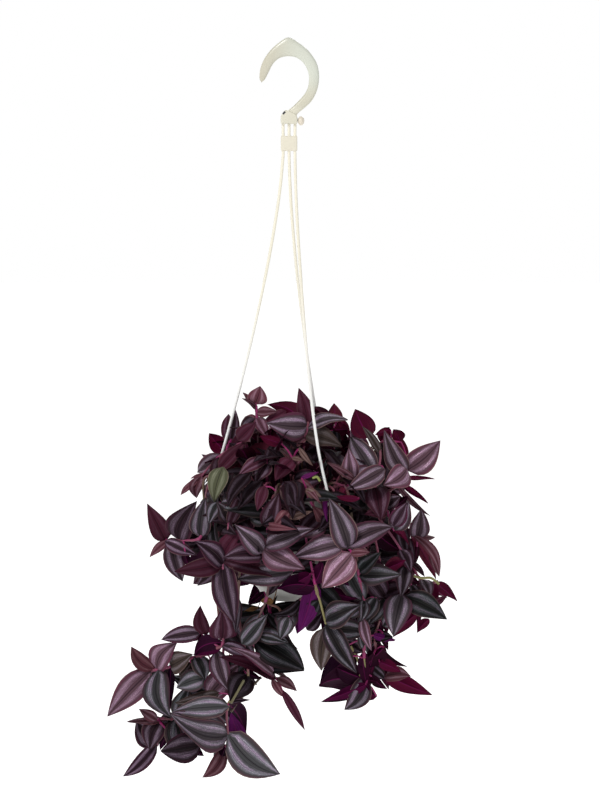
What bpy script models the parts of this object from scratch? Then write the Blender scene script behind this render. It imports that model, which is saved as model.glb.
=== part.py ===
"""Potted inch plant in a white hanging pot, in metres, +Z up.

The origin is the crown of the hook's inside, where the plant hangs. All
driving dimensions are real sizes in millimetres. X runs to the right of the
front view, Y runs away from it.
"""

import math

import bpy
import bmesh
from mathutils import Vector
from mathutils.bvhtree import BVHTree

for old in list(bpy.data.objects):
    bpy.data.objects.remove(old, do_unlink=True)

MM = 0.001
WELD = 0.00002            # metres, for slivers that a Boolean leaves
FOLDED = math.radians(179.9)
FIT = 0.3                 # gap between two pieces that touch

# Hook, a flat rounded bar bent in the XZ plane
HOOK_DEEP = 7.0           # size along Y
HEAD_BOTTOM = -67.0
HEAD_SIDE = 8.4           # half width
HEAD_DEEP = 9.0
HEAD_EDGE = 1.2           # bevel of its front and back edges
SOCKET_DEEP = 2.5
PIN_HEIGHT = -62.4
PIN_RADIUS = 1.2
PIN_DEEP = 2.4            # how far the stud sits in the hook's head
KNOB_RADIUS = 4.6
KNOB_HEIGHT = -64.0
# Strands and the clip that holds them side by side
STRAND_RADIUS = 1.5
STRAND_PITCH = 6.0
CLIP_TOP = -79.0
CLIP_BOTTOM = -94.0
CLIP_WIDE = 16.6
CLIP_DEEP = 4.6
# Pot
RIM_RADIUS = 70.5
RIM_TOP = -438.0
POT_HEIGHT = 113.0
FOOT_RADIUS = 29.0
WALL = 2.6
LUG_REACH = 12.0
LUG_WIDE = 12.0
LUG_THICK = 3.5
LUG_HOLE = 1.85
BARB_RADIUS = 3.0
BARB_LENGTH = 11.0
STRAND_ANGLES = {"left": 180.0, "front": -60.0, "back": 60.0}
STRAND_SLACK = {"left": 1.37, "front": 1.65, "back": 1.55}    # 1 is a straight strand
STRAND_RING = 77.5        # distance of each strand's end from the pot's axis
POT_SIDES = 22
# Soil
SOIL_TOP = -452.0
SOIL_DOME = 2.0
STEM_SINK = 14.0
# Foliage
STEM_RADIUS = 1.7
STEM_TIP_RADIUS = 1.25
BLADE_THICK = 1.2         # at the midrib, thinning to the edges
LEAF_FULL = 1.06          # true width over the width between a leaf's corners
ROOT_HALF = 0.8           # half width of a leaf where it leaves its stem
ROOT_THICK = 1.0
FOLD = math.radians(14.0)  # how far a leaf's halves rise
BOW = 0.07                # arch of a leaf's midrib, over its length
SMALL_LEAF = 20.0         # a shorter leaf has one ring less
STEM_SIDES = 3
CLEAR = 0.45              # air kept between two leaves
BARE = 0.07               # share of a leaf that may touch others of its stem
STEM_TRIALS = 60          # courses tried for a stem that meets another one
LEAF_TRIALS = 48          # ways tried for a leaf of the rule at the sides and back
FUSE_TRIES = 12           # unions tried, each with its leaves nudged a little
NUDGE = 0.12              # well under the air that CLEAR keeps
SWELL = 0.003             # growth of a leaf's thickness at each of those turns
# Front view: where it is seen from, how far down it looks, the distance at
# which its millimetres are true, and the drop at its middle
EYE = Vector((11.0, -2179.0, -38.0))
VIEW_PITCH = math.radians(8.07)
VIEW_TRUE = 2153.0
VIEW_DROP = 344.0


def material(name, colour, rough):
    mat = bpy.data.materials.new(name)
    mat.use_nodes = True
    shader = mat.node_tree.nodes["Principled BSDF"]
    shader.inputs["Base Color"].default_value = (*colour, 1.0)
    shader.inputs["Roughness"].default_value = rough
    shader.inputs["Metallic"].default_value = 0.0
    mat.diffuse_color = (*colour, 1.0)
    return mat


HOOK_PLASTIC = material("hook_plastic", (0.72, 0.73, 0.63), 0.28)
STRAND_PLASTIC = material("strand_plastic", (0.84, 0.80, 0.70), 0.40)
POT_PLASTIC = material("pot_plastic", (0.80, 0.79, 0.76), 0.35)
SOIL_MIX = material("soil", (0.045, 0.030, 0.020), 0.95)
LEAF = material("leaf", (0.19, 0.12, 0.18), 0.45)


def as_object(name, verts, faces, mat, smooth=True):
    mesh = bpy.data.meshes.new(name)
    mesh.from_pydata([Vector(v) * MM for v in verts], [], faces)
    mesh.materials.append(mat)
    mesh.update()
    if smooth:
        mesh.shade_smooth()
        mesh.set_sharp_from_angle(angle=math.radians(40))
    obj = bpy.data.objects.new(name, mesh)
    bpy.context.scene.collection.objects.link(obj)
    return obj


def strip(rings):
    """Faces of a closed skin over rings of equal length."""
    count = len(rings[0])
    faces = []
    for low, high in zip(rings, rings[1:]):
        for i in range(count):
            j = (i + 1) % count
            faces.append((low[i], low[j], high[j], high[i]))
    faces += [tuple(rings[0][::-1]), tuple(rings[-1])]
    return faces


def catmull(points, per_span):
    """Points on a smooth curve through the given ones."""
    pts = [Vector(p) for p in points]
    pts = [pts[0] * 2 - pts[1]] + pts + [pts[-1] * 2 - pts[-2]]
    out = []
    for a, b, c, d in zip(pts, pts[1:], pts[2:], pts[3:]):
        for k in range(per_span):
            t = k / per_span
            out.append(0.5 * (2 * b + (c - a) * t + (2 * a - 5 * b + 4 * c - d) * t ** 2
                              + (3 * b - a - 3 * c + d) * t ** 3))
    out.append(pts[-2].copy())
    return out


def tube(path, radii, sides):
    """Vertices and faces of a round tube along a path."""
    verts, rings = [], []
    side = None
    for i, p in enumerate(path):
        ahead = path[min(i + 1, len(path) - 1)] - path[max(i - 1, 0)]
        ahead.normalize()
        if side is None:
            side = ahead.orthogonal()
        side = (side - ahead * side.dot(ahead)).normalized()
        other = ahead.cross(side)
        ring = []
        for k in range(sides):
            a = 2 * math.pi * k / sides
            verts.append(p + radii[i] * (math.cos(a) * side + math.sin(a) * other))
            ring.append(len(verts) - 1)
        rings.append(ring)
    return verts, strip(rings)


def turned(profile, sides):
    """A body of revolution about Z from a closed (radius, z) profile."""
    verts, rings = [], []
    for k in range(sides):
        a = 2 * math.pi * k / sides
        ring = []
        for r, z in profile:
            verts.append(Vector((r * math.cos(a), r * math.sin(a), z)))
            ring.append(len(verts) - 1)
        rings.append(ring)
    count = len(profile)
    faces = []
    for k in range(sides):
        here, there = rings[k], rings[(k + 1) % sides]
        for i in range(count):
            j = (i + 1) % count
            faces.append((here[i], there[i], there[j], here[j]))
    return verts, faces


def weld_axis(obj):
    """Joins the points that a turned profile leaves on the axis."""
    bm = bmesh.new()
    bm.from_mesh(obj.data)
    bmesh.ops.remove_doubles(bm, verts=bm.verts, dist=1e-6)
    bmesh.ops.dissolve_degenerate(bm, edges=bm.edges, dist=1e-7)
    bmesh.ops.recalc_face_normals(bm, faces=bm.faces)
    bm.to_mesh(obj.data)
    bm.free()


def boolean(target, tools, operation, solver="EXACT"):
    """Applies one Boolean with all the tools, then removes them."""
    group = bpy.data.collections.new("tools")
    bpy.context.scene.collection.children.link(group)
    for tool in tools:
        group.objects.link(tool)
    mod = target.modifiers.new("boolean", "BOOLEAN")
    mod.operation = operation
    mod.operand_type = "COLLECTION"
    mod.collection = group
    mod.solver = solver
    bpy.context.view_layer.update()
    graph = bpy.context.evaluated_depsgraph_get()
    result = bpy.data.meshes.new_from_object(target.evaluated_get(graph))
    target.modifiers.clear()
    before = target.data
    target.data = result
    result.name = target.name
    bpy.data.meshes.remove(before)
    for tool in tools:
        bpy.data.objects.remove(tool, do_unlink=True)
    bpy.data.collections.remove(group)


def keep_body(obj):
    """Welds a union's slivers, fills sealed hollows and drops scraps.

    It says whether one closed body is left, with no face folded on another.
    """
    bm = bmesh.new()
    bm.from_mesh(obj.data)
    bmesh.ops.triangulate(bm, faces=bm.faces)
    bmesh.ops.remove_doubles(bm, verts=bm.verts, dist=WELD)
    bmesh.ops.dissolve_degenerate(bm, edges=bm.edges, dist=WELD)
    bmesh.ops.triangulate(bm, faces=bm.faces)
    flaps = {}
    for face in bm.faces:
        flaps.setdefault(frozenset(v.index for v in face.verts), []).append(face)
    doubled = [face for pair in flaps.values() if len(pair) > 1 for face in pair]
    bmesh.ops.delete(bm, geom=doubled, context="FACES")
    left = set(bm.faces)
    bodies = []
    while left:
        queue = [left.pop()]
        body = []
        while queue:
            face = queue.pop()
            body.append(face)
            for edge in face.edges:
                for other in edge.link_faces:
                    if other in left:
                        left.remove(other)
                        queue.append(other)
        bodies.append(body)
    bodies.sort(key=len)
    for body in bodies[:-1]:
        bmesh.ops.delete(bm, geom=body, context="FACES")
    sound = all(len(edge.link_faces) == 2 and edge.calc_face_angle() < FOLDED
                and edge.calc_length() > WELD / 2 for edge in bm.edges)
    bm.to_mesh(obj.data)
    bm.free()
    return sound


def cylinder(name, low, high, radius, sides, mat):
    verts, faces = tube([Vector(low), Vector(high)], [radius, radius], sides)
    return as_object(name, verts, faces, mat)


def box(name, low, high, mat):
    bm = bmesh.new()
    bmesh.ops.create_cube(bm, size=1.0)
    for v in bm.verts:
        v.co = Vector([((lo + hi) / 2 + c * (hi - lo)) * MM
                       for lo, hi, c in zip(low, high, v.co)])
    mesh = bpy.data.meshes.new(name)
    bm.to_mesh(mesh)
    bm.free()
    mesh.materials.append(mat)
    obj = bpy.data.objects.new(name, mesh)
    bpy.context.scene.collection.objects.link(obj)
    return obj


# Hook: each station has its outer and its inner edge point, (x, z)
HOOK_STATIONS = [
    ((-28.2, -26.4), (-26.6, -25.4)),
    ((-29.6, -20.5), (-23.8, -22.3)),
    ((-28.6, -12.0), (-20.2, -15.5)),
    ((-25.0, -3.0), (-16.4, -8.2)),
    ((-18.5, 6.0), (-11.2, -2.9)),
    ((-10.0, 13.6), (-6.0, -0.7)),
    ((-0.6, 18.7), (-0.4, 0.0)),
    ((8.6, 14.2), (6.4, -1.0)),
    ((17.4, 7.6), (12.6, -4.8)),
    ((24.4, -0.8), (17.2, -11.0)),
    ((28.9, -10.0), (19.8, -19.0)),
    ((30.2, -22.0), (19.4, -28.4)),
    ((28.0, -34.0), (16.4, -36.0)),
    ((22.5, -44.5), (10.6, -43.0)),
    ((14.5, -52.0), (4.2, -49.4)),
    ((8.6, -57.0), (-1.0, -54.0)),
    ((7.0, -61.5), (-3.0, -60.5)),
]
# Head of the hook, seen from the front, (x, z)
HEAD_OUTLINE = [(-HEAD_SIDE, HEAD_BOTTOM), (HEAD_SIDE, HEAD_BOTTOM), (HEAD_SIDE, -60.4),
                (6.8, -57.4), (-1.6, -53.0), (-5.0, -53.8), (-HEAD_SIDE, -59.4)]
HOOK_SECTION = [(1, 0.45), (0.62, 1), (-0.62, 1), (-1, 0.45),
                (-1, -0.45), (-0.62, -1), (0.62, -1), (1, -0.45)]


def build_head():
    """The block at the hook's foot, drawn in at its front and back."""
    middle = Vector((0, 0, (HEAD_BOTTOM - 58.0) / 2))
    deep = HEAD_DEEP / 2
    verts, rings = [], []
    for y, drawn in ((-deep, HEAD_EDGE), (HEAD_EDGE - deep, 0.0), (deep - HEAD_EDGE, 0.0),
                     (deep, HEAD_EDGE)):
        rings.append(list(range(len(verts), len(verts) + len(HEAD_OUTLINE))))
        for x, z in HEAD_OUTLINE:
            corner = Vector((x, 0, z))
            inward = (middle - corner).normalized() * drawn
            verts.append(corner + inward + Vector((0, y, 0)))
    head = as_object("head", verts, strip(rings), HOOK_PLASTIC)
    weld_axis(head)
    return head


def build_hook():
    outer = catmull([(o[0], 0, o[1]) for o, _ in HOOK_STATIONS], 1)
    inner = catmull([(i[0], 0, i[1]) for _, i in HOOK_STATIONS], 1)
    verts, rings = [], []
    for k, (o, i) in enumerate(zip(outer, inner)):
        middle, half = (o + i) / 2, (o - i) / 2
        deep = HOOK_DEEP / 2 * min(1.0, 0.45 + 0.24 * k)
        ring = []
        for across, along in HOOK_SECTION:
            verts.append(middle + half * across + Vector((0, deep * along, 0)))
            ring.append(len(verts) - 1)
        rings.append(ring)
    hook = as_object("hook", verts, strip(rings), HOOK_PLASTIC)
    weld_axis(hook)
    boolean(hook, [build_head()], "UNION")
    cutters = []
    for k in (-1, 0, 1):
        x = k * STRAND_PITCH
        cutters.append(cylinder("socket", (x, 0, HEAD_BOTTOM - 1),
                                (x, 0, HEAD_BOTTOM + SOCKET_DEEP),
                                STRAND_RADIUS + FIT, 8, HOOK_PLASTIC))
    cutters.append(cylinder("pin_bore", (HEAD_SIDE - PIN_DEEP, 0, PIN_HEIGHT),
                            (2 * HEAD_SIDE, 0, PIN_HEIGHT), PIN_RADIUS + FIT, 8, HOOK_PLASTIC))
    for cutter in cutters:
        cutter.hide_render = True
        cutter.display_type = "WIRE"
    boolean(hook, cutters, "DIFFERENCE")
    return hook


def build_pin():
    """Stud with a round knob in the side of the hook's head."""
    side = HEAD_SIDE + FIT
    stations = [(HEAD_SIDE - PIN_DEEP + FIT, PIN_RADIUS, PIN_HEIGHT),
                (side, PIN_RADIUS, PIN_HEIGHT),
                (side + 0.1, KNOB_RADIUS * 0.7, KNOB_HEIGHT),
                (side + KNOB_RADIUS * 0.5, KNOB_RADIUS, KNOB_HEIGHT),
                (side + KNOB_RADIUS, KNOB_RADIUS * 0.9, KNOB_HEIGHT),
                (side + KNOB_RADIUS * 1.45, KNOB_RADIUS * 0.35, KNOB_HEIGHT)]
    verts, rings = [], []
    for x, radius, z in stations:
        rings.append(list(range(len(verts), len(verts) + 8)))
        for k in range(8):
            a = 2 * math.pi * k / 8
            verts.append(Vector((x, radius * math.cos(a), z + radius * math.sin(a))))
    return as_object("pin", verts, strip(rings), STRAND_PLASTIC)


def strand_end(angle):
    a = math.radians(angle)
    return Vector((STRAND_RING * math.cos(a), STRAND_RING * math.sin(a), RIM_TOP))


STRAND_SLOTS = {"left": -1, "back": 0, "front": 1}


def strand_path(side):
    """Socket, clip, then one slack curve out to the pot's lug."""
    x = STRAND_SLOTS[side] * STRAND_PITCH
    end = strand_end(STRAND_ANGLES[side])
    low = Vector((x, 0, CLIP_BOTTOM - 4))
    path = [Vector((x, 0, HEAD_BOTTOM + SOCKET_DEEP - FIT)),
            Vector((x, 0, CLIP_TOP + 2)), low]
    spans = 9
    for k in range(1, spans + 1):
        t = k / spans
        spread = t ** STRAND_SLACK[side]
        path.append(Vector((low.x + (end.x - low.x) * spread,
                            low.y + (end.y - low.y) * spread,
                            low.z + (end.z + 6 - low.z) * t)))
    return path, end


def build_strand(side):
    path, end = strand_path(side)
    radii = [STRAND_RADIUS] * len(path)
    under = RIM_TOP - 0.6 - LUG_THICK
    for z, radius in ((under - FIT, STRAND_RADIUS), (under - FIT - 0.1, BARB_RADIUS),
                      (under - 2.6, BARB_RADIUS * 0.85), (under - BARB_LENGTH, 0.9)):
        path.append(Vector((end.x, end.y, z)))
        radii.append(radius)
    verts, faces = tube(path, radii, 6)
    return as_object("strand_" + side, verts, faces, STRAND_PLASTIC)


def build_clip():
    """Flat plate that keeps the three strands side by side."""
    clip = box("strand_clip", (-CLIP_WIDE / 2, -CLIP_DEEP / 2, CLIP_BOTTOM),
               (CLIP_WIDE / 2, CLIP_DEEP / 2, CLIP_TOP), STRAND_PLASTIC)
    cutters = [cylinder("bore", (k * STRAND_PITCH, 0, CLIP_BOTTOM - 2),
                        (k * STRAND_PITCH, 0, CLIP_TOP + 2),
                        STRAND_RADIUS + FIT, 8, STRAND_PLASTIC) for k in (-1, 0, 1)]
    for cutter in cutters:
        cutter.hide_render = True
        cutter.display_type = "WIRE"
    boolean(clip, cutters, "DIFFERENCE")
    return clip


# Pot wall: (share of the height, share of the way from foot to rim)
BOWL = [(0.0, 0.0), (0.08, 0.10), (0.18, 0.36), (0.32, 0.62), (0.52, 0.83), (0.75, 0.95), (1.0, 1.0)]


def wall_radius(z):
    """Outer radius of the bowl at height z."""
    share = (z - (RIM_TOP - POT_HEIGHT)) / POT_HEIGHT
    for (h0, r0), (h1, r1) in zip(BOWL, BOWL[1:]):
        if share <= h1:
            r = r0 + (r1 - r0) * (share - h0) / (h1 - h0)
            return FOOT_RADIUS + (RIM_RADIUS - FOOT_RADIUS) * r
    return RIM_RADIUS


def build_pot():
    base = RIM_TOP - POT_HEIGHT
    outer = [(FOOT_RADIUS + (RIM_RADIUS - FOOT_RADIUS) * r, base + POT_HEIGHT * h)
             for h, r in BOWL[:-1]]
    lip = [(RIM_RADIUS, RIM_TOP - 7), (RIM_RADIUS + 2.4, RIM_TOP - 6),
           (RIM_RADIUS + 2.4, RIM_TOP - 1), (RIM_RADIUS + 1, RIM_TOP),
           (RIM_RADIUS - 1.5, RIM_TOP)]
    inner = [(wall_radius(z) - WALL, z) for z in (RIM_TOP - 8, RIM_TOP - 40, RIM_TOP - 72,
                                                  base + 14)]
    profile = ([(0.0, base)] + outer + lip + inner
               + [(FOOT_RADIUS - WALL, base + 3), (0.0, base + 3)])
    verts, faces = turned(profile, POT_SIDES)
    pot = as_object("pot", verts, faces, POT_PLASTIC)
    weld_axis(pot)
    lugs = []
    holes = []
    for angle in STRAND_ANGLES.values():
        a = math.radians(angle)
        out = Vector((math.cos(a), math.sin(a), 0))
        side = Vector((-out.y, out.x, 0))
        outline = [(RIM_RADIUS - 1, -LUG_WIDE / 2 - 3), (RIM_RADIUS + LUG_REACH - 3, -LUG_WIDE / 2),
                   (RIM_RADIUS + LUG_REACH, -LUG_WIDE / 4), (RIM_RADIUS + LUG_REACH, LUG_WIDE / 4),
                   (RIM_RADIUS + LUG_REACH - 3, LUG_WIDE / 2), (RIM_RADIUS - 1, LUG_WIDE / 2 + 3)]
        rings, verts = [], []
        for z in (RIM_TOP - 0.6 - LUG_THICK, RIM_TOP - 0.6):
            ring = []
            for reach, across in outline:
                verts.append(out * reach + side * across + Vector((0, 0, z)))
                ring.append(len(verts) - 1)
            rings.append(ring)
        lug = as_object("lug", verts, strip(rings), POT_PLASTIC, smooth=False)
        lugs.append(lug)
        end = strand_end(angle)
        holes.append(cylinder("hole", end + Vector((0, 0, -9)), end + Vector((0, 0, 6)),
                              LUG_HOLE, 8, POT_PLASTIC))
    boolean(pot, lugs, "UNION")
    for hole in holes:
        hole.hide_render = True
        hole.display_type = "WIRE"
    boolean(pot, holes, "DIFFERENCE")
    return pot


def inner_radius(z):
    levels = [RIM_TOP - 8, RIM_TOP - 40, RIM_TOP - 72, RIM_TOP - POT_HEIGHT + 14]
    for high, low in zip(levels, levels[1:]):
        if z >= low:
            t = (high - z) / (high - low)
            return (wall_radius(high) * (1 - t) + wall_radius(low) * t) - WALL
    return FOOT_RADIUS - WALL


def soil_skin():
    """The body of potting mix that fills the bowl, before its holes."""
    base = RIM_TOP - POT_HEIGHT
    walls = [(inner_radius(z) - FIT, z) for z in (SOIL_TOP, RIM_TOP - 72, base + 14)]
    profile = ([(0.0, base + 3 + FIT), (FOOT_RADIUS - WALL - FIT * 1.5, base + 3 + FIT)]
               + walls[::-1] + [(0.0, SOIL_TOP + SOIL_DOME)])
    return turned(profile, POT_SIDES)


def build_soil(roots):
    """Potting mix with one plain hole for each stem."""
    soil = as_object("soil", *soil_skin(), SOIL_MIX)
    weld_axis(soil)
    cutters = [cylinder("hole", (x, y, SOIL_TOP - STEM_SINK), (x, y, SOIL_TOP + 8),
                        STEM_RADIUS + FIT + 0.05, STEM_SIDES, SOIL_MIX) for x, y in roots]
    for cutter in cutters:
        cutter.hide_render = True
        cutter.display_type = "WIRE"
    boolean(soil, cutters, "DIFFERENCE")
    return soil


# Foliage. Places are (x, drop, y): right of the hook's crown and below it as
# the front view shows them, and the depth, negative towards the viewer.
OUTLINE = [(0.0, 0.0), (0.05, 0.22), (0.12, 0.62), (0.26, 0.94), (0.40, 1.0),
           (0.55, 0.90), (0.70, 0.68), (0.84, 0.38), (0.94, 0.14), (1.0, 0.0)]


def seen(place):
    """The point at depth y that the front view shows at (x, drop)."""
    x, drop, y = place
    ahead = Vector((0, math.cos(VIEW_PITCH), -math.sin(VIEW_PITCH)))
    upward = Vector((0, math.sin(VIEW_PITCH), math.cos(VIEW_PITCH)))
    ray = ahead * VIEW_TRUE + upward * (VIEW_DROP - drop)
    ray.x = x - EYE.x
    return EYE + ray * ((y - EYE.y) / ray.y)


def shown(p):
    """Where the front view shows a point, as (x, drop)."""
    ahead = Vector((0, math.cos(VIEW_PITCH), -math.sin(VIEW_PITCH)))
    upward = Vector((0, math.sin(VIEW_PITCH), math.cos(VIEW_PITCH)))
    ray = p - EYE
    scale = VIEW_TRUE / ray.dot(ahead)
    return EYE.x + ray.x * scale, VIEW_DROP - ray.dot(upward) * scale


def spread(u):
    """Half width of a leaf at share u of its length, for a width of 2."""
    for (u0, w0), (u1, w1) in zip(OUTLINE, OUTLINE[1:]):
        if u <= u1:
            t = (u - u0) / (u1 - u0)
            return w0 + (w1 - w0) * t
    return 0.0


class Blade:
    """One leaf: where it starts and ends, its width and how it faces."""

    def __init__(self, base, tip, width, roll=0.0, face=None):
        self.base, self.width = base, width
        self.along = tip - base
        self.length = self.along.length
        self.along.normalize()
        if face is None:
            face = EYE - (base + tip) / 2
        face = (face - self.along * face.dot(self.along)).normalized()
        side = self.along.cross(face)
        if side.z < -0.25 or (abs(side.z) <= 0.25 and side.x < 0):
            side = -side
        a = math.radians(roll)
        self.up = face * math.cos(a) + side * math.sin(a)
        self.side = self.up.cross(self.along)

    def point(self, u, s, lift=0.0):
        """The surface at share u of the length and s of the half width."""
        arch = 4 * u * (1 - u) * self.length
        spine = self.base + self.along * (u * self.length) + self.up * (BOW * arch)
        half = max(self.width / 2 * spread(u), ROOT_HALF * (1 - u))
        return (spine + self.side * (s * half * math.cos(FOLD))
                + self.up * (abs(s) * half * math.sin(FOLD) + lift))

    def stations(self):
        return (0.0, 0.22, 0.54) if self.length > SMALL_LEAF else (0.0, 0.4)

    def skin(self, swell):
        """Vertices and faces of a leaf, thick at the midrib, thin at the edge."""
        verts, rings = [], []
        for u in self.stations():
            thick = (ROOT_THICK if u == 0 else BLADE_THICK * spread(u)) / 2 + swell
            rings.append(list(range(len(verts), len(verts) + 4)))
            verts += [self.point(u, s, lift) for s, lift in (
                (-1, 0), (0, thick), (1, 0), (0, -thick))]
        return self.closed(verts, rings, [self.point(1.0, 0)])

    def closed(self, verts, rings, tip):
        count = len(rings[0])
        faces = [tuple(rings[0])]
        for low, high in zip(rings, rings[1:]):
            faces += [(low[i], high[i], high[(i + 1) % count], low[(i + 1) % count])
                      for i in range(count)]
        last = rings[-1]
        faces += [(last[i], len(verts), last[(i + 1) % count]) for i in range(count)]
        return verts + tip, faces

    def hull(self, grow=0.0, start=0.0):
        """Vertices and faces of the space that a leaf needs, cut at start."""
        verts, rings = [], []
        for u in [start] + [v for v in self.stations() if v > start]:
            thick = (ROOT_THICK if u == 0 else BLADE_THICK) / 2 + grow
            wide = 1 + grow / max(self.width / 2 * spread(u), ROOT_HALF)
            rings.append(list(range(len(verts), len(verts) + 6)))
            verts += [self.point(u, s, lift) for s, lift in (
                (-wide, thick), (0, thick), (wide, thick),
                (wide, -thick), (0, -thick), (-wide, -thick))]
        return self.closed(verts, rings, [self.point(1.0, 0) + self.along * grow])


def joined(skins):
    """One list of vertices and one of faces out of several."""
    verts, faces = [], []
    for some, rims in skins:
        faces += [tuple(i + len(verts) for i in rim) for rim in rims]
        verts += some
    return verts, faces


def hides(p, body):
    """Whether the body shows behind the point in the front view."""
    way = (p - EYE).normalized()
    return body.tree.ray_cast(p + way * 0.5, way)[0] is not None


class Solid:
    """A body that leaves keep clear of."""

    def __init__(self, verts, faces):
        self.verts, self.faces = verts, faces
        self.tree = BVHTree.FromPolygons(verts, faces)
        self.low = Vector([min(v[k] for v in verts) for k in range(3)])
        self.high = Vector([max(v[k] for v in verts) for k in range(3)])

    def stands_in(self, line):
        """Whether a sight line meets the body."""
        start, way = line
        middle = (self.low + self.high) / 2 - start
        if (middle - way * middle.dot(way)).length > (self.high - self.low).length:
            return False
        return self.tree.ray_cast(start, way)[0] is not None

    def meets(self, other):
        if any(self.high[k] < other.low[k] or other.high[k] < self.low[k] for k in range(3)):
            return False
        return bool(self.tree.overlap(other.tree))


def solid_of(obj):
    verts = [obj.matrix_world @ v.co / MM for v in obj.data.vertices]
    return Solid(verts, [tuple(p.vertices) for p in obj.data.polygons])


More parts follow.
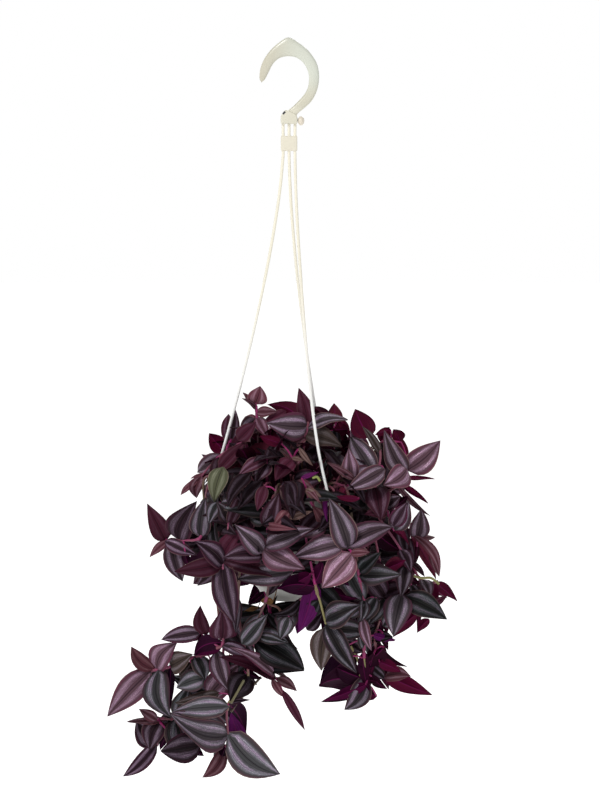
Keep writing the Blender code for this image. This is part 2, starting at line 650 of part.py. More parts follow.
# Each shoot: name, root on the soil (x, y), the angle at which it crosses the
# rim or None, its nodes, and its leaves as (node, tip, width, roll).
SHOOTS = [
    ("crown_left", (-16, 6), None,
     [(-30, 395, -8), (-31, 375, -12), (-32, 360, -12), (-33, 352, -12), (-35, 347, -12)],
     [(4, (-29, 330, -14), 16, 0), (4, (-46, 336, -12), 7, 30),
      (3, (-46, 342, -16), 5, 40), (3, (-11, 355, -18), 11, 20),
      (2, (-21, 382, -24), 13, 10), (2, (-50, 381, -24), 19, 20),
      (1, (-5, 389, -30), 12, 180), (2, (-45, 361, -4), 11, 0)]),
    ("crown_middle", (8, -14), None,
     [(13, 412, -26), (14, 395, -30), (17, 377, -28), (19, 367, -26)],
     [(3, (9.5, 331.5, -22), 14, 0), (3, (-22.5, 366.5, -44), 27, 20),
      (3, (58.5, 362, -30), 14, 45), (2, (53.5, 390, -40), 20, 25),
      (3, (-21, 349, -8), 15, 180), (2, (1, 393, -38), 11, 35),
      (1, (23, 409.5, -42), 10, 30), (1, (4, 412, -42), 8, 30)]),
    ("crown_mid_right", (28, -16), None,
     [(74, 428, -36), (88, 415, -42), (91, 395, -36), (80, 381, -30)],
     [(1, (56.5, 434, -62), 25, 35), (1, (61, 379.5, -48), 25, 5),
      (2, (74, 370, -40), 9, 20), (3, (66, 353, -22), 23, 180)]),
    ("crown_right", (44, 2), None,
     [(96, 436, -16), (112, 427, -20), (118, 413, -18)],
     [(2, (151.5, 384, -14), 28, 5), (2, (96, 374.5, -26), 21, 10),
      (2, (92, 429.5, -42), 28, 15), (2, (146.5, 422, -28), 8, 150),
      (1, (139.5, 447, -24), 9, 150), (1, (141.5, 460, -30), 4, 0)]),
    ("crown_back_right", (30, 18), None,
     [(76, 400, 8), (93, 386, 6), (112, 386, 4)],
     [(1, (100.5, 370.5, 2), 15, 180), (2, (104.5, 373, 6), 14, 160),
      (0, (62, 372, 16), 22, 0)]),
    ("crown_back_mid", (8, 14), None,
     [(34, 388, 2), (47, 368, 0)],
     [(1, (45, 347, 4), 16, 180), (1, (24, 350, -6), 14, 180),
      (1, (60, 373, -14), 14, 170), (0, (10, 352, 18), 22, 0),
      (0, (64, 356, 20), 16, 20)]),
    ("crown_left_back", (-30, 10), None,
     [(-60, 410, 10), (-62, 395, 10), (-58, 384, 10)],
     [(2, (-54, 352, 8), 13, 0), (2, (-59.5, 357, 14), 10, 20),
      (1, (-80, 377, 10), 14, 180), (0, (-44, 366, 20), 20, 0),
      (0, (-88, 398, 22), 20, 10)]),
    ("crown_left_front", (-36, -8), None,
     [(-46, 387, -14), (-70, 401, -13), (-90, 423, -10)],
     [(1, (-76, 445, -30), 25, 0),
      (0, (-73.5, 416.5, -26), 13, 20), (1, (-93, 417, -22), 17, 25),
      (2, (-109, 439, -10), 5, 30), (2, (-92, 442.5, -16), 11, 0), (2, (-99, 423, -6), 3, 0),
      (0, (-44, 372, -22), 9, 0)]),
    ("crown_front_left", (-18, -22), None,
     [(-22, 425, -48), (-22, 403, -46)],
     [(1, (-51, 420, -60), 12, 40), (1, (-34, 428, -64), 18, 10),
      (0, (-18.5, 440.5, -66), 13, 0), (0, (-39, 444, -62), 14, 15),
      (1, (-8, 382, -52), 11, 30)]),
    ("crown_front", (2, -30), None,
     [(4, 425, -46), (4, 403, -50)],
     [(1, (-14, 424.5, -66), 18, 20), (1, (-14, 390, -52), 10, 60),
      (0, (2, 460, -70), 14, 0), (0, (36, 424, -62), 20, 20),
      (0, (30, 444, -70), 11, 30)]),
    ("crown_front_right", (20, -32), None,
     [(44, 440, -56), (61, 428, -60), (62, 420, -56)],
     [(2, (38, 406, -66), 6, 30), (2, (34, 392, -52), 17, 20),
      (1, (87, 469, -84), 12, 30), (1, (52, 440, -74), 10, 170),
      (2, (60, 392, -62), 18, 20), (0, (66, 450, -80), 16, 30)]),
    ("side_left", (-46, -14), -158,
     [(-89, 482, -48), (-111, 484, -30), (-124, 485, -22)],
     [(0, (-83.5, 442, -54), 20, 0), (1, (-92, 445.5, -36), 22, 0),
      (1, (-84, 500, -46), 20, 30), (2, (-141.6, 447.8, -26), 20, 0),
      (2, (-140, 501.5, -26), 9, 10), (2, (-106, 525.5, -36), 22, 10),
      (0, (-69, 463, -60), 12, 40)]),
    ("front_left", (-40, -28), -141,
     [(-60, 470, -80), (-66, 500, -84), (-66, 511, -88)],
     [(1, (-47.5, 472.5, -90), 18, 10), (2, (-94.5, 485, -98), 22, 25),
      (2, (-115, 515.5, -94), 19, 20), (2, (-55, 569.5, -106), 28, 0),
      (2, (-6, 522, -92), 20, 35), (2, (-92, 530, -80), 18, 30),
      (0, (-46, 428, -80), 13, 0), (0, (-57, 468, -94), 12, 20),
      (0, (-72, 446, -86), 16, 20)]),
    ("front_middle", (-20, -40), -108,
     [(-21, 474, -90), (-27, 501, -98)],
     [(0, (-10.4, 437.6, -94), 21, 0), (0, (5, 473, -102), 8, 30),
      (1, (-66.5, 501.5, -112), 21, 30), (1, (-54, 468.5, -108), 22, 10),
      (1, (16, 512.5, -116), 24, 20), (1, (25, 472, -106), 22, 25),
      (0, (-40, 460, -100), 18, 20)]),
    ("front_right", (16, -38), -76,
     [(38, 470, -84), (60, 494, -94)],
     [(1, (40.5, 442.5, -102), 26, 10), (1, (105, 470, -94), 25, 25),
      (1, (3.5, 501, -106), 24, 30), (1, (32, 532.5, -114), 28, 5),
      (1, (81, 496.7, -106), 9, 20), (0, (4, 480, -92), 20, 30),
      (0, (24, 450, -90), 12, 20)]),
    ("side_right", (42, -20), -25,
     [(86, 430, -48), (98, 455, -56), (105, 475, -55)],
     [(2, (119.8, 445, -56), 20, 0), (2, (120, 488, -60), 7, 150),
      (0, (92, 464, -76), 27, 0), (1, (76, 458, -74), 15, 20),
      (1, (112, 440, -60), 16, 20)]),
    ("side_right_far", (52, -8), -11,
     [(112, 466, -34), (128, 484, -30)],
     [(1, (132, 453, -34), 18, 0), (1, (147, 481, -30), 6, 20),
      (1, (150.5, 521.5, -34), 9, 20), (1, (147, 523.5, -24), 13, 180),
      (0, (118, 500, -40), 16, 30)]),
    ("low_right_side", (46, -26), -36,
     [(112, 494, -52), (117, 511, -54), (113, 542, -56)],
     [(1, (112, 541, -70), 18, 0), (1, (94, 512, -56), 15, 180),
      (2, (158.5, 563, -62), 24, 15), (2, (104, 580, -70), 27, 0),
      (0, (122, 516, -60), 14, 30)]),
    ("low_right_far", (56, 2), 4,
     [(124, 512, -14), (136, 527, -18), (148, 526, -16)],
     [(2, (168.5, 544.5, -14), 11, 160), (1, (149, 548, -28), 16, 170),
      (0, (120, 514, -34), 15, 180), (1, (141, 542, -36), 14, 20),
      (2, (158, 541, -22), 8, 150), (1, (128.5, 576.5, -8), 9, 170)]),
    ("low_middle", (4, -44), -88,
     [(14, 470, -84), (27, 532, -88), (31, 545, -87), (38, 572, -84)],
     [(1, (-11, 533, -106), 21, 180), (1, (34, 506, -100), 16, 180),
      (1, (10, 576.5, -102), 23, 180), (1, (68, 546.5, -94), 20, 180),
      (3, (32.5, 615, -94), 22, 0), (3, (68, 617, -98), 26, 10),
      (3, (70.5, 548.5, -100), 26, 20)]),
    ("low_right", (32, -28), -47,
     [(70, 520, -74), (75, 545, -68), (75, 596, -60), (76, 612, -58), (79, 628, -56)],
     [(4, (29, 628.5, -68), 21, 150), (4, (32.5, 645.4, -62), 14, 180),
      (4, (55, 654, -58), 17, 20), (2, (81, 636, -66), 15, 180),
      (2, (68, 574, -68), 12, 20), (2, (84, 583, -68), 8, 30),
      (0, (112, 518, -86), 21, 35), (0, (91, 496, -84), 16, 20),
      (1, (72, 566, -82), 12, 20)]),
    ("low_right_hanging", (38, -12), -31,
     [(96, 542, -50), (86, 584, -52), (96, 622, -50)],
     [(0, (79, 569, -68), 19, 10), (1, (104, 581, -64), 12, 30),
      (1, (106, 585, -48), 9, 170), (1, (117, 609.5, -46), 17, 160),
      (2, (122, 620, -58), 16, 30), (2, (143, 638.5, -50), 20, 175),
      (2, (99.5, 633, -54), 9, 180), (0, (98, 578, -34), 18, 180)]),
    ("trail_left_middle", (-28, -34), -130,
     [(-66, 545, -66), (-67, 590, -58), (-86, 576, -54)],
     [(1, (-35, 604, -68), 14, 30), (1, (-95, 599.5, -64), 14, 150),
      (1, (-67, 554, -72), 28, 0), (2, (-128.7, 583.5, -58), 19, 20),
      (2, (-88.5, 549.5, -56), 14, 0)]),
    ("trail_left_outer", (-44, -24), -150,
     [(-68, 560, -44), (-72, 594, -42), (-95, 601, -40), (-120, 611, -38), (-139, 615, -34)],
     [(3, (-97, 598, -52), 20, 20), (4, (-182, 660.8, -42), 28, 5),
      (4, (-157.5, 590, -32), 14, 15), (4, (-112, 587, -44), 22, 10),
      (4, (-117, 662, -48), 28, 5), (2, (-84, 625, -50), 20, 30)]),
    ("trail_left_front", (-12, -42), -99,
     [(-22, 540, -76), (-36, 584, -66), (-12, 624, -62)],
     [(2, (-70.5, 600, -80), 14, 40), (2, (-57, 591, -72), 12, 30),
      (2, (15.9, 675.5, -66), 14, 20), (2, (8, 635, -60), 8, 60),
      (1, (16, 612.5, -76), 28, 10), (1, (-0.5, 586, -76), 15, 30)]),
    ("pot_front", (10, -34), -93.5,
     [(20, 530, -72), (12, 543, -66), (-5, 556, -60), (-24, 560, -58)],
     [(2, (-3, 579, -70), 19, 0), (3, (-49, 582, -68), 17, 15),
      (3, (-42, 590, -64), 8, 40)]),
    ("trail_left_low", (-34, -18), -121,
     [(-50, 560, -56), (-41, 620, -48), (-61, 648, -48), (-61, 684, -50), (-65, 694, -50)],
     [(3, (-116.5, 655.5, -62), 24, 20), (3, (-117, 658, -72), 27, 25),
      (3, (-8, 718, -62), 32, 5), (4, (-87, 721.5, -56), 14, 0),
      (4, (-67, 701, -56), 9, 170), (3, (-53, 654, -38), 20, 180),
      (1, (-59, 645, -60), 28, 0), (2, (-115, 642, -56), 14, 30)]),
    ("trail_left_back", (-52, -6), -169,
     [(-70, 560, -18), (-66, 600, -20), (-80, 640, -20), (-112, 662, -22), (-130, 664, -22),
      (-132, 688, -22)],
     [(5, (-166.5, 720.8, -26), 16, 0), (4, (-139, 694, -34), 24, 0),
      (3, (-107, 706, -36), 34, 10), (4, (-162, 664, -26), 6, 40),
      (4, (-149, 651.5, -18), 13, 20), (3, (-92, 701, -30), 12, 0)]),
]


def rounded(path, head):
    """A stem's course: straight up from its hole, smooth to its first node."""
    curve = catmull(path[1:], 2)
    last = 2 * (head - 1)
    return path[:1] + curve[:last + 1] + path[head + 1:]


def rim_crossing(angle, lift):
    a = math.radians(angle)
    out = Vector((math.cos(a), math.sin(a), 0))
    return [out * 60 + Vector((0, 0, RIM_TOP + lift)),
            out * 78 + Vector((0, 0, RIM_TOP + lift + 2)),
            out * 89 + Vector((0, 0, RIM_TOP + lift - 9))]


def wobble(seed, k):
    """A repeatable number from -1 to 1."""
    return 2 * (math.sin(seed * 12.9898 + k * 78.233) * 43758.5453 % 1.0) - 1


def stem_course(shoot, seed, trial):
    _, root, crossing, nodes, _ = shoot
    x = root[0] + 5 * wobble(seed, trial) * (trial > 0)
    y = root[1] + 5 * wobble(seed + 0.5, trial) * (trial > 0)
    path = [Vector((x, y, SOIL_TOP - STEM_SINK + FIT + 0.1)), Vector((x, y, SOIL_TOP + 3))]
    ends = [seen(n) for n in nodes]
    if crossing is not None:
        path += rim_crossing(crossing + 1.5 * wobble(seed + 0.3, trial) * (trial > 0),
                             9 + 5 * abs(wobble(seed + 0.7, trial)) * (trial > 0))
    else:
        mid = (path[-1] + ends[0]) / 2 + Vector((0, 0, 8))
        mid += 7 * Vector([wobble(seed + k, trial) for k in (0.1, 0.2, 0.4)]) * (trial > 0)
        path.append(mid)
    return (x, y), path + ends, len(path)


def node_index(head, k):
    """Where node k stands on the rounded course."""
    return 1 + 2 * (head - 1) + k


def leaf_base(course, place, leaves, leaf):
    """Leaves of one node leave the stem a little apart."""
    mates = [other for other in leaves if other[0] == leaf[0]]
    back = course[place - 1] - course[place]
    step = min(3.2, 0.8 * back.length / len(mates))
    return course[place] + back.normalized() * (1.2 + step * mates.index(leaf))


def stem_skin(course, grow=0.0):
    count = len(course)
    radii = [STEM_RADIUS + (STEM_TIP_RADIUS - STEM_RADIUS) * k / (count - 1) + grow
             for k in range(count)]
    radii[-1] *= 0.6
    return tube(course, radii, STEM_SIDES)


# Tries for a leaf that meets another one: tip's depth, turn and size
TRY_DEPTHS = (-36, -28, -20, -14, -8, -4, 0, 4, 8, 14, 20, 28, 36)
TRY_TURNS = (-30, -15, 0, 15, 30)
TRY_SIZES = (1.0, 0.88, 0.76)
TRIES = sorted([(deep, turn, size) for deep in TRY_DEPTHS for turn in TRY_TURNS
                for size in TRY_SIZES],
               key=lambda t: abs(t[0]) / 10 + abs(t[1]) / 20 + (1 - t[2]) * 12)

# Rule for the sides and the back: (angle, crosses the rim, leaves)
FILL_SHOOTS = [(22, True, 6), (40, True, 6), (80, True, 6), (98, True, 6), (118, True, 6),
               (140, True, 6), (162, True, 5), (75, False, 5), (130, False, 5)]
# What the front view shows of the plant, which the rules stay inside: the
# mound, its right lobe and its left one
FRONT_OUTLINE = [
    [(-64, 389), (-57, 372), (-27, 376), (-14, 356), (9, 354), (46, 359), (61, 379),
     (91, 394), (111, 409), (119, 434), (115, 454), (123, 484), (116, 504), (109, 524),
     (96, 542), (61, 542), (29, 529), (-27, 527), (-49, 522), (-74, 520), (-91, 504),
     (-103, 489), (-93, 459), (-83, 444), (-81, 424), (-74, 404)],
    [(28, 526), (112, 526), (140, 540), (128, 548), (112, 552), (104, 578), (96, 592),
     (104, 612), (118, 626), (84, 622), (66, 640), (44, 634), (62, 616), (34, 608),
     (26, 580)],
    [(-62, 566), (-40, 538), (12, 540), (14, 600), (2, 616), (-20, 616), (-36, 640),
     (-52, 690), (-66, 690), (-96, 700), (-146, 692), (-140, 672), (-112, 640),
     (-122, 618), (-96, 622), (-76, 606)]]


# Rule for what still shows through: sight lines, from the front view's eye and
# inward all round the back, that should meet a leaf
SPOT_STEP = 8.0
BACK_ANGLES = range(-34, 226, 13)
BACK_HEIGHTS = (34, 14, -6, -26, -46, -66, -86)    # above the rim
GAP_LEAVES = 128
GAP_REACH = (8.0, 30.0)    # how far a sight line may pass from a stem
GAP_BEST = 18.0
GAP_OFFERS = 26            # places on the stems that are tried for a line
GAP_DEPTHS = (0, -9, 9, -18)
GAP_LENGTH = (24.0, 58.0)
GAP_WIDE = 0.5             # width over length
GAP_TURN = 25.0            # degrees
# Places on a leaf, (share of its length, of its half width)
SHAPE_SPOTS = ((1, 0), (0.4, -1), (0.4, 1))
GAP_SPOTS = ((0.3, 0), (0.5, 0), (0.8, 0), (1, 0), (0.4, -0.7), (0.4, 0.7))


def in_outline(p):
    x, drop = shown(p)
    for lobe in FRONT_OUTLINE:
        inside = False
        for (x0, d0), (x1, d1) in zip(lobe, lobe[1:] + lobe[:1]):
            if (d0 > drop) != (d1 > drop) and x < x0 + (drop - d0) * (x1 - x0) / (d1 - d0):
                inside = not inside
        if inside:
            return True
    return False


def shows_inside(blade, spots):
    return all(in_outline(blade.point(u, s)) for u, s in spots)


def fill_course(angle, over, seed, trial):
    a = math.radians(angle + 2 * wobble(seed, trial))
    out = Vector((math.cos(a), math.sin(a), 0))
    rise = Vector((0, 0, 1))
    root = out * (46 if over else 30) + 3 * Vector((wobble(seed, 3), wobble(seed, 4), 0))
    path = [Vector((root.x, root.y, SOIL_TOP - STEM_SINK + FIT + 0.1)),
            Vector((root.x, root.y, SOIL_TOP + 3))]
    if over:
        path += rim_crossing(math.degrees(a), 9 + 4 * abs(wobble(seed, trial + 9)))
        reach = 106 - 16 * abs(out.x)
        path += [out * (reach - 5) + rise * (RIM_TOP - 34), out * reach + rise * (RIM_TOP - 70),
                 out * (reach - 2 + 4 * wobble(seed, 5)) + rise * (RIM_TOP - 104)]
    else:
        path += [out * 34 + rise * (RIM_TOP + 20), out * 42 + rise * (RIM_TOP + 44),
                 out * (54 + 5 * wobble(seed, 5)) + rise * (RIM_TOP + 62)]
    return (root.x, root.y), path


def fill_blade(course, place, number, seed, trial, over):
    """A leaf of the rule, alternate along its stem."""
    base = course[place]
    ahead = (course[min(place + 1, len(course) - 1)] - course[place - 1]).normalized()
    out = Vector((base.x, base.y, 0)).normalized()
    side = ahead.cross(out).normalized()
    if number % 2:
        side = -side
    key = seed + 0.37 * number
    lead = (side * (0.8 + 0.3 * wobble(key, trial)) + out * (0.55 + 0.4 * wobble(key, trial + 1))
            + ahead * (0.35 + 0.4 * wobble(key, trial + 2)))
    lead.z += 0.15 + 0.35 * wobble(key, trial + 3)
    lead.normalize()
    size = (50 + 8 * wobble(key, 1)) * (1.0, 0.92, 0.84, 0.76)[min(trial // 12, 3)]
    face = out * 0.75 + Vector((0, 0, 0.8 if over else 1.1)) + 0.4 * side * wobble(key, trial + 5)
    return Blade(base, base + lead * size, size * 0.45, 0.0, face)


def sight_lines():
    """Each line that should meet a leaf, as (where from, which way)."""
    xs = [x for lobe in FRONT_OUTLINE for x, _ in lobe]
    drops = [drop for lobe in FRONT_OUTLINE for _, drop in lobe]
    lines = []
    for row in range(int((max(drops) - min(drops)) / SPOT_STEP)):
        for column in range(int((max(xs) - min(xs)) / SPOT_STEP)):
            x = min(xs) + SPOT_STEP * (column + 0.5 * (row % 2))
            spot = seen((x, min(drops) + SPOT_STEP * (row + 0.5), 0.0))
            if in_outline(spot):
                lines.append((EYE, (spot - EYE).normalized()))
    for angle in BACK_ANGLES:
        for k, height in enumerate(BACK_HEIGHTS):
            a = math.radians(angle + 6.5 * (k % 2))
            out = Vector((math.cos(a), math.sin(a), 0))
            lines.append((out * 260 + Vector((0, 0, RIM_TOP + height)), -out))
    return lines


def gap_blades(line, stems, seed):
    """Leaves that would stand in a sight line, each with its stem's number."""
    start, way = line
    found = []
    for owner, (_, course, _, _) in enumerate(stems):
        for place in range(3, len(course)):
            base = course[place]
            pass_by = start + way * (base - start).dot(way)
            if GAP_REACH[0] < (pass_by - base).length < GAP_REACH[1]:
                found.append((abs((pass_by - base).length - GAP_BEST), owner, place, pass_by))
    found.sort(key=lambda f: f[:3])
    for n, (_, owner, place, pass_by) in enumerate(found[:GAP_OFFERS]):
        course = stems[owner][1]
        stem_way = (course[place] - course[place - 1]).normalized()
        for deep in GAP_DEPTHS:
            lead = pass_by + way * deep - course[place]
            if abs(lead.normalized().dot(stem_way)) > 0.88:
                continue
            length = min(max(2.1 * lead.length, GAP_LENGTH[0]), GAP_LENGTH[1])
            tip = course[place] + lead.normalized() * length
            turn = GAP_TURN * wobble(seed, n + deep)
            yield owner, Blade(course[place], tip, length * GAP_WIDE, turn, -way)


def grow_plant(pot_parts):
    """Stems first, then leaves, each kept clear of what stands already."""
    stems, roots = [], []
    blocks = [solid_of(p) for p in pot_parts]
    ground = Solid(*soil_skin())
    placed = []
    for seed, shoot in enumerate(SHOOTS):
        for trial in range(STEM_TRIALS):
            root, path, head = stem_course(shoot, seed, trial)
            course = rounded(path, head)
            shape = Solid(*stem_skin(course, CLEAR))
            if not any(shape.meets(b) for b in blocks + placed):
                break
        stems.append((shoot[0], course, head, shoot[4]))
        roots.append(root)
        placed.append(Solid(*stem_skin(course)))
    for number, (angle, over, count) in enumerate(FILL_SHOOTS):
        seed = 100 + number
        for trial in range(STEM_TRIALS):
            root, path = fill_course(angle, over, seed, trial)
            course = rounded(path, len(path) - 2)
            shape = Solid(*stem_skin(course, CLEAR))
            if not any(shape.meets(b) for b in blocks + placed):
                break
        name = "back_trail_%d" % number if over else "back_crown_%d" % number
        stems.append((name, course, over, count))
        roots.append(root)
        placed.append(Solid(*stem_skin(course)))
    blades = {stem[0]: [] for stem in stems}
    bodies = []

    def fits(blade, owner):
        test = Solid(*blade.hull(CLEAR))
        late = None
        if any(test.meets(b) for b in blocks) or test.meets(ground):
            return False
        for k, stem in enumerate(placed):
            if k != owner and test.meets(stem):
                return False
        for other, body, bare in bodies:
            if other != owner and test.meets(body):
                return False
            if other == owner:
                if late is None:
                    late = Solid(*blade.hull(CLEAR, BARE))
                if late.meets(bare):
                    return False
        return True

    def keep(blade, owner, name):
        blades[name].append(blade)
        bodies.append((owner, Solid(*blade.hull()), Solid(*blade.hull(0.0, BARE))))

    for owner, (name, course, head, leaves) in enumerate(stems[:len(SHOOTS)]):
        for leaf in leaves:
            k, tip, width, roll = leaf
            base = leaf_base(course, node_index(head, k), leaves, leaf)
            for deep, turn, size in TRIES:
                end = seen((tip[0], tip[1], tip[2] + deep))
                end = base + (end - base) * size
                full = LEAF_FULL * width / max(0.7, abs(math.cos(math.radians(roll + turn))))
                blade = Blade(base, end, full * size, roll + turn)
                if fits(blade, owner):
                    keep(blade, owner, name)
                    break
    for number, (name, course, over, count) in enumerate(stems[len(SHOOTS):]):
        owner = len(SHOOTS) + number
        spots = [len(course) - 1 - k for k in range(len(course) - 6 if over else 5)]
        for n in range(count):
            place = spots[n * len(spots) // count]
            for trial in range(LEAF_TRIALS):
                blade = fill_blade(course, place, n, 100 + number, trial, over)
                if shows_inside(blade, SHAPE_SPOTS) and fits(blade, owner):
                    keep(blade, owner, name)
                    break
    hand = Solid(*joined([(b.verts, b.faces) for o, b, _ in bodies if o < len(SHOOTS)]))
    whole = Solid(*joined([(b.verts, b.faces) for _, b, _ in bodies]))
    gaps = [line for line in sight_lines() if not whole.stands_in(line)]
    offers = []
    for number, line in enumerate(gaps):
        for owner, blade in gap_blades(line, stems, 200 + number):
            if not shows_inside(blade, GAP_SPOTS) or any(
                    hides(blade.point(u, s), hand) for u, s in GAP_SPOTS):
                continue
            body = Solid(*blade.hull())
            gain = {k for k, other in enumerate(gaps) if body.stands_in(other)}
            offers.append((-len(gain), len(offers), owner, blade, gain))
    offers.sort(key=lambda offer: offer[:2])
    left, still = GAP_LEAVES, set(range(len(gaps)))
    for least in (7, 6, 5, 4, 3, 2, 1):
        for _, _, owner, blade, gain in offers:
            if left and len(gain & still) >= least and fits(blade, owner):
                keep(blade, owner, stems[owner][0])
                still -= gain
                left -= 1
    return stems, roots, blades


def fused(name, course, blades, turn):
    """One solid of a stem and its leaves, nudged a little at each turn."""
    stem = as_object(name, *stem_skin(course), LEAF)
    leaves = []
    for k, blade in enumerate(blades):
        verts, faces = blade.skin(SWELL * turn)
        shift = Vector([wobble(turn + 0.31 * k, axis) for axis in range(3)])
        verts = [v + shift * NUDGE * (turn > 0) for v in verts]
        leaves.append(as_object("blade", verts, faces, LEAF))
    if leaves:
        boolean(stem, leaves, "UNION", "MANIFOLD" if turn % 2 else "EXACT")
    return stem, keep_body(stem)


def fuse(name, course, blades):
    """Joins a stem and its leaves, less a leaf that leaves no sound solid."""
    for turn in range(FUSE_TRIES):
        stem, sound = fused(name, course, blades, turn)
        if sound:
            return
        bpy.data.objects.remove(stem, do_unlink=True)
    best = fused("bare", course, [], 0)[0]
    kept = []
    for blade in blades:
        for turn in range(FUSE_TRIES):
            stem, sound = fused("more", course, kept + [blade], turn)
            if sound:
                bpy.data.objects.remove(best, do_unlink=True)
                best = stem
                kept.append(blade)
                break
            bpy.data.objects.remove(stem, do_unlink=True)
    best.name = name


def main():
    build_hook()
    build_pin()
    build_clip()
    strands = [build_strand(side) for side in STRAND_ANGLES]
    pot = build_pot()
    stems, roots, blades = grow_plant([pot] + strands)
    build_soil(roots)
    for name, course, _, _ in stems:
        fuse(name, course, blades[name])


main()
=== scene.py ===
"""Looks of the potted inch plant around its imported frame, in metres, +Z up.

Lengths are millimetres until a mesh is made. A place of the front view is
(x, drop): right of the hook's crown and below it, as the camera shows them.
"""
import math

import bpy
import numpy as np
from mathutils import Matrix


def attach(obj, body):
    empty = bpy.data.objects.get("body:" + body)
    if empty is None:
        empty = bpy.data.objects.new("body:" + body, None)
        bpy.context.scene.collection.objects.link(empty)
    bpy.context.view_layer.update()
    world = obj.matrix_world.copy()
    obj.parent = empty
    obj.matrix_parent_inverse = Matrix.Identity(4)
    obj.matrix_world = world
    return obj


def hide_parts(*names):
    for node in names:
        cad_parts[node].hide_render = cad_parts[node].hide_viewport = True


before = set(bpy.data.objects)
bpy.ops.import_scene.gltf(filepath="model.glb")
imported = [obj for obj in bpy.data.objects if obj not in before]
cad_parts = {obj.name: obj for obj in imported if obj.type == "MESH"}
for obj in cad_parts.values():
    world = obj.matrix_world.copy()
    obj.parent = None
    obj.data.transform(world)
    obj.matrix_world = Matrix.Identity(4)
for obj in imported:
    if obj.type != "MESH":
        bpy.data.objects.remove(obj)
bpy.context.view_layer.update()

MM = 0.001
# Camera: where it stands, how far down it looks, the distance at which its
# millimetres are true, and the drop at the middle of its view
EYE = np.array([11.0, -2179.0, -38.0])
VIEW_PITCH = math.radians(8.07)
VIEW_TRUE = 2153.0
VIEW_DROP = 344.0
IMAGE_TALL = 800.0
SENSOR = 36.0
# Hanger
HOOK_DEEP = 7.0
HEAD_BOTTOM = -67.0
HEAD_SIDE = 8.4                        # half width
HEAD_DEEP = 9.0
HEAD_CORNER = 1.5
HEAD_EDGE = 1.4
CLIP = (-94.0, -79.0, 8.3, 2.3)        # bottom, top, half width, half depth
CLIP_BEVEL = 1.0
KNOB_RADIUS = 4.6
KNOB_FLAT = 0.72                       # its half length over its radius
STUD_RADIUS = 1.2
KNOB_HEIGHT = -64.0
PIN_HEIGHT = -62.4
STRAND_RADIUS = 1.5
STRAND_PITCH = 6.0
STRAND_TOP = -64.8
# Barb: (depth under the lug, radius)
BARB = [(0.3, STRAND_RADIUS), (0.4, 3.0), (1.2, 3.0), (2.6, 2.6), (11.0, 0.9)]
# Pot and soil
RIM_RADIUS = 70.5
RIM_TOP = -438.0
LUG_UNDER = RIM_TOP - 4.1
POT_HEIGHT = 113.0
POT_BASE = RIM_TOP - POT_HEIGHT
FOOT_RADIUS = 29.0
WALL = 2.6
STRAND_RING = 77.5
STRAND_ANGLES = {"left": 180.0, "back": 60.0, "front": -60.0}
STRAND_SLACK = {"left": 1.37, "back": 1.55, "front": 1.65}     # 1 is a straight strand
FRONT_BOW = -3.2                                               # over the leaves, to the left
BOW_SCALE = 12.2                       # brings the peak of t^4 (1 - t) to one
SOIL_TOP = -452.0
SOIL_DOME = 2.0
SOIL_RADIUS = 66.0
STEM_SINK = 14.0
# Foliage
STEM_RADIUS = 1.7
STEM_TIP_RADIUS = 1.25
STEM_SLIM = 0.92                       # a round stem beside its solid's
FOLD = math.radians(14.0)              # how far a leaf's halves rise
BOW = 0.07                             # arch of a leaf's midrib, over its length
BLADE_THICK = 0.55
RISE = np.array([0, 0, 1.0])

TO_AHEAD = np.array([0.0, math.cos(VIEW_PITCH), -math.sin(VIEW_PITCH)])
TO_TOP = np.array([0.0, math.sin(VIEW_PITCH), math.cos(VIEW_PITCH)])


def seen(place):
    """The point at depth y on the sight line through (x, drop)."""
    x, drop, y = place
    ray = TO_AHEAD * VIEW_TRUE + TO_TOP * (VIEW_DROP - drop)
    ray[0] = x - EYE[0]
    return EYE + ray * ((y - EYE[1]) / ray[1])


def shown(points):
    """(x, drop) at which the camera shows each point: its offset from the
    view's axis, scaled to the distance where millimetres are true."""
    ray = points - EYE
    scale = VIEW_TRUE / (ray @ TO_AHEAD)
    return np.stack([EYE[0] + ray[..., 0] * scale, VIEW_DROP - (ray @ TO_TOP) * scale], -1)


def unit(vectors):
    return vectors / np.maximum(np.linalg.norm(vectors, axis=-1, keepdims=True), 1e-9)


def outward(a):
    """Level unit vector at angle a, and the one a quarter turn further."""
    out = np.array([math.cos(a), math.sin(a), 0])
    return out, np.array([-out[1], out[0], 0])


def turn(count):
    """Angles of a full turn in even steps."""
    return 2 * math.pi * np.arange(count) / count


def wobble(seed, k):
    """A repeatable number from -1 to 1 out of two numbers or arrays."""
    return 2 * (np.sin(np.asarray(seed) * 12.9898 + np.asarray(k) * 78.233) * 43758.5453 % 1.0) - 1


def catmull(points, per_span):
    """Smooth curve through the points: on each span the cubic whose slope at
    a point is half the step between its two neighbours."""
    pts = np.asarray(points, float)
    pts = np.vstack([2 * pts[0] - pts[1], pts, 2 * pts[-1] - pts[-2]])
    a, b, c, d = (pts[k:len(pts) - 3 + k, None, :] for k in range(4))
    t = (np.arange(per_span) / per_span)[None, :, None]
    curve = 0.5 * (2 * b + (c - a) * t + (2 * a - 5 * b + 4 * c - d) * t ** 2
                   + (3 * b - a - 3 * c + d) * t ** 3)
    return np.vstack([curve.reshape(-1, pts.shape[1]), pts[-2]])


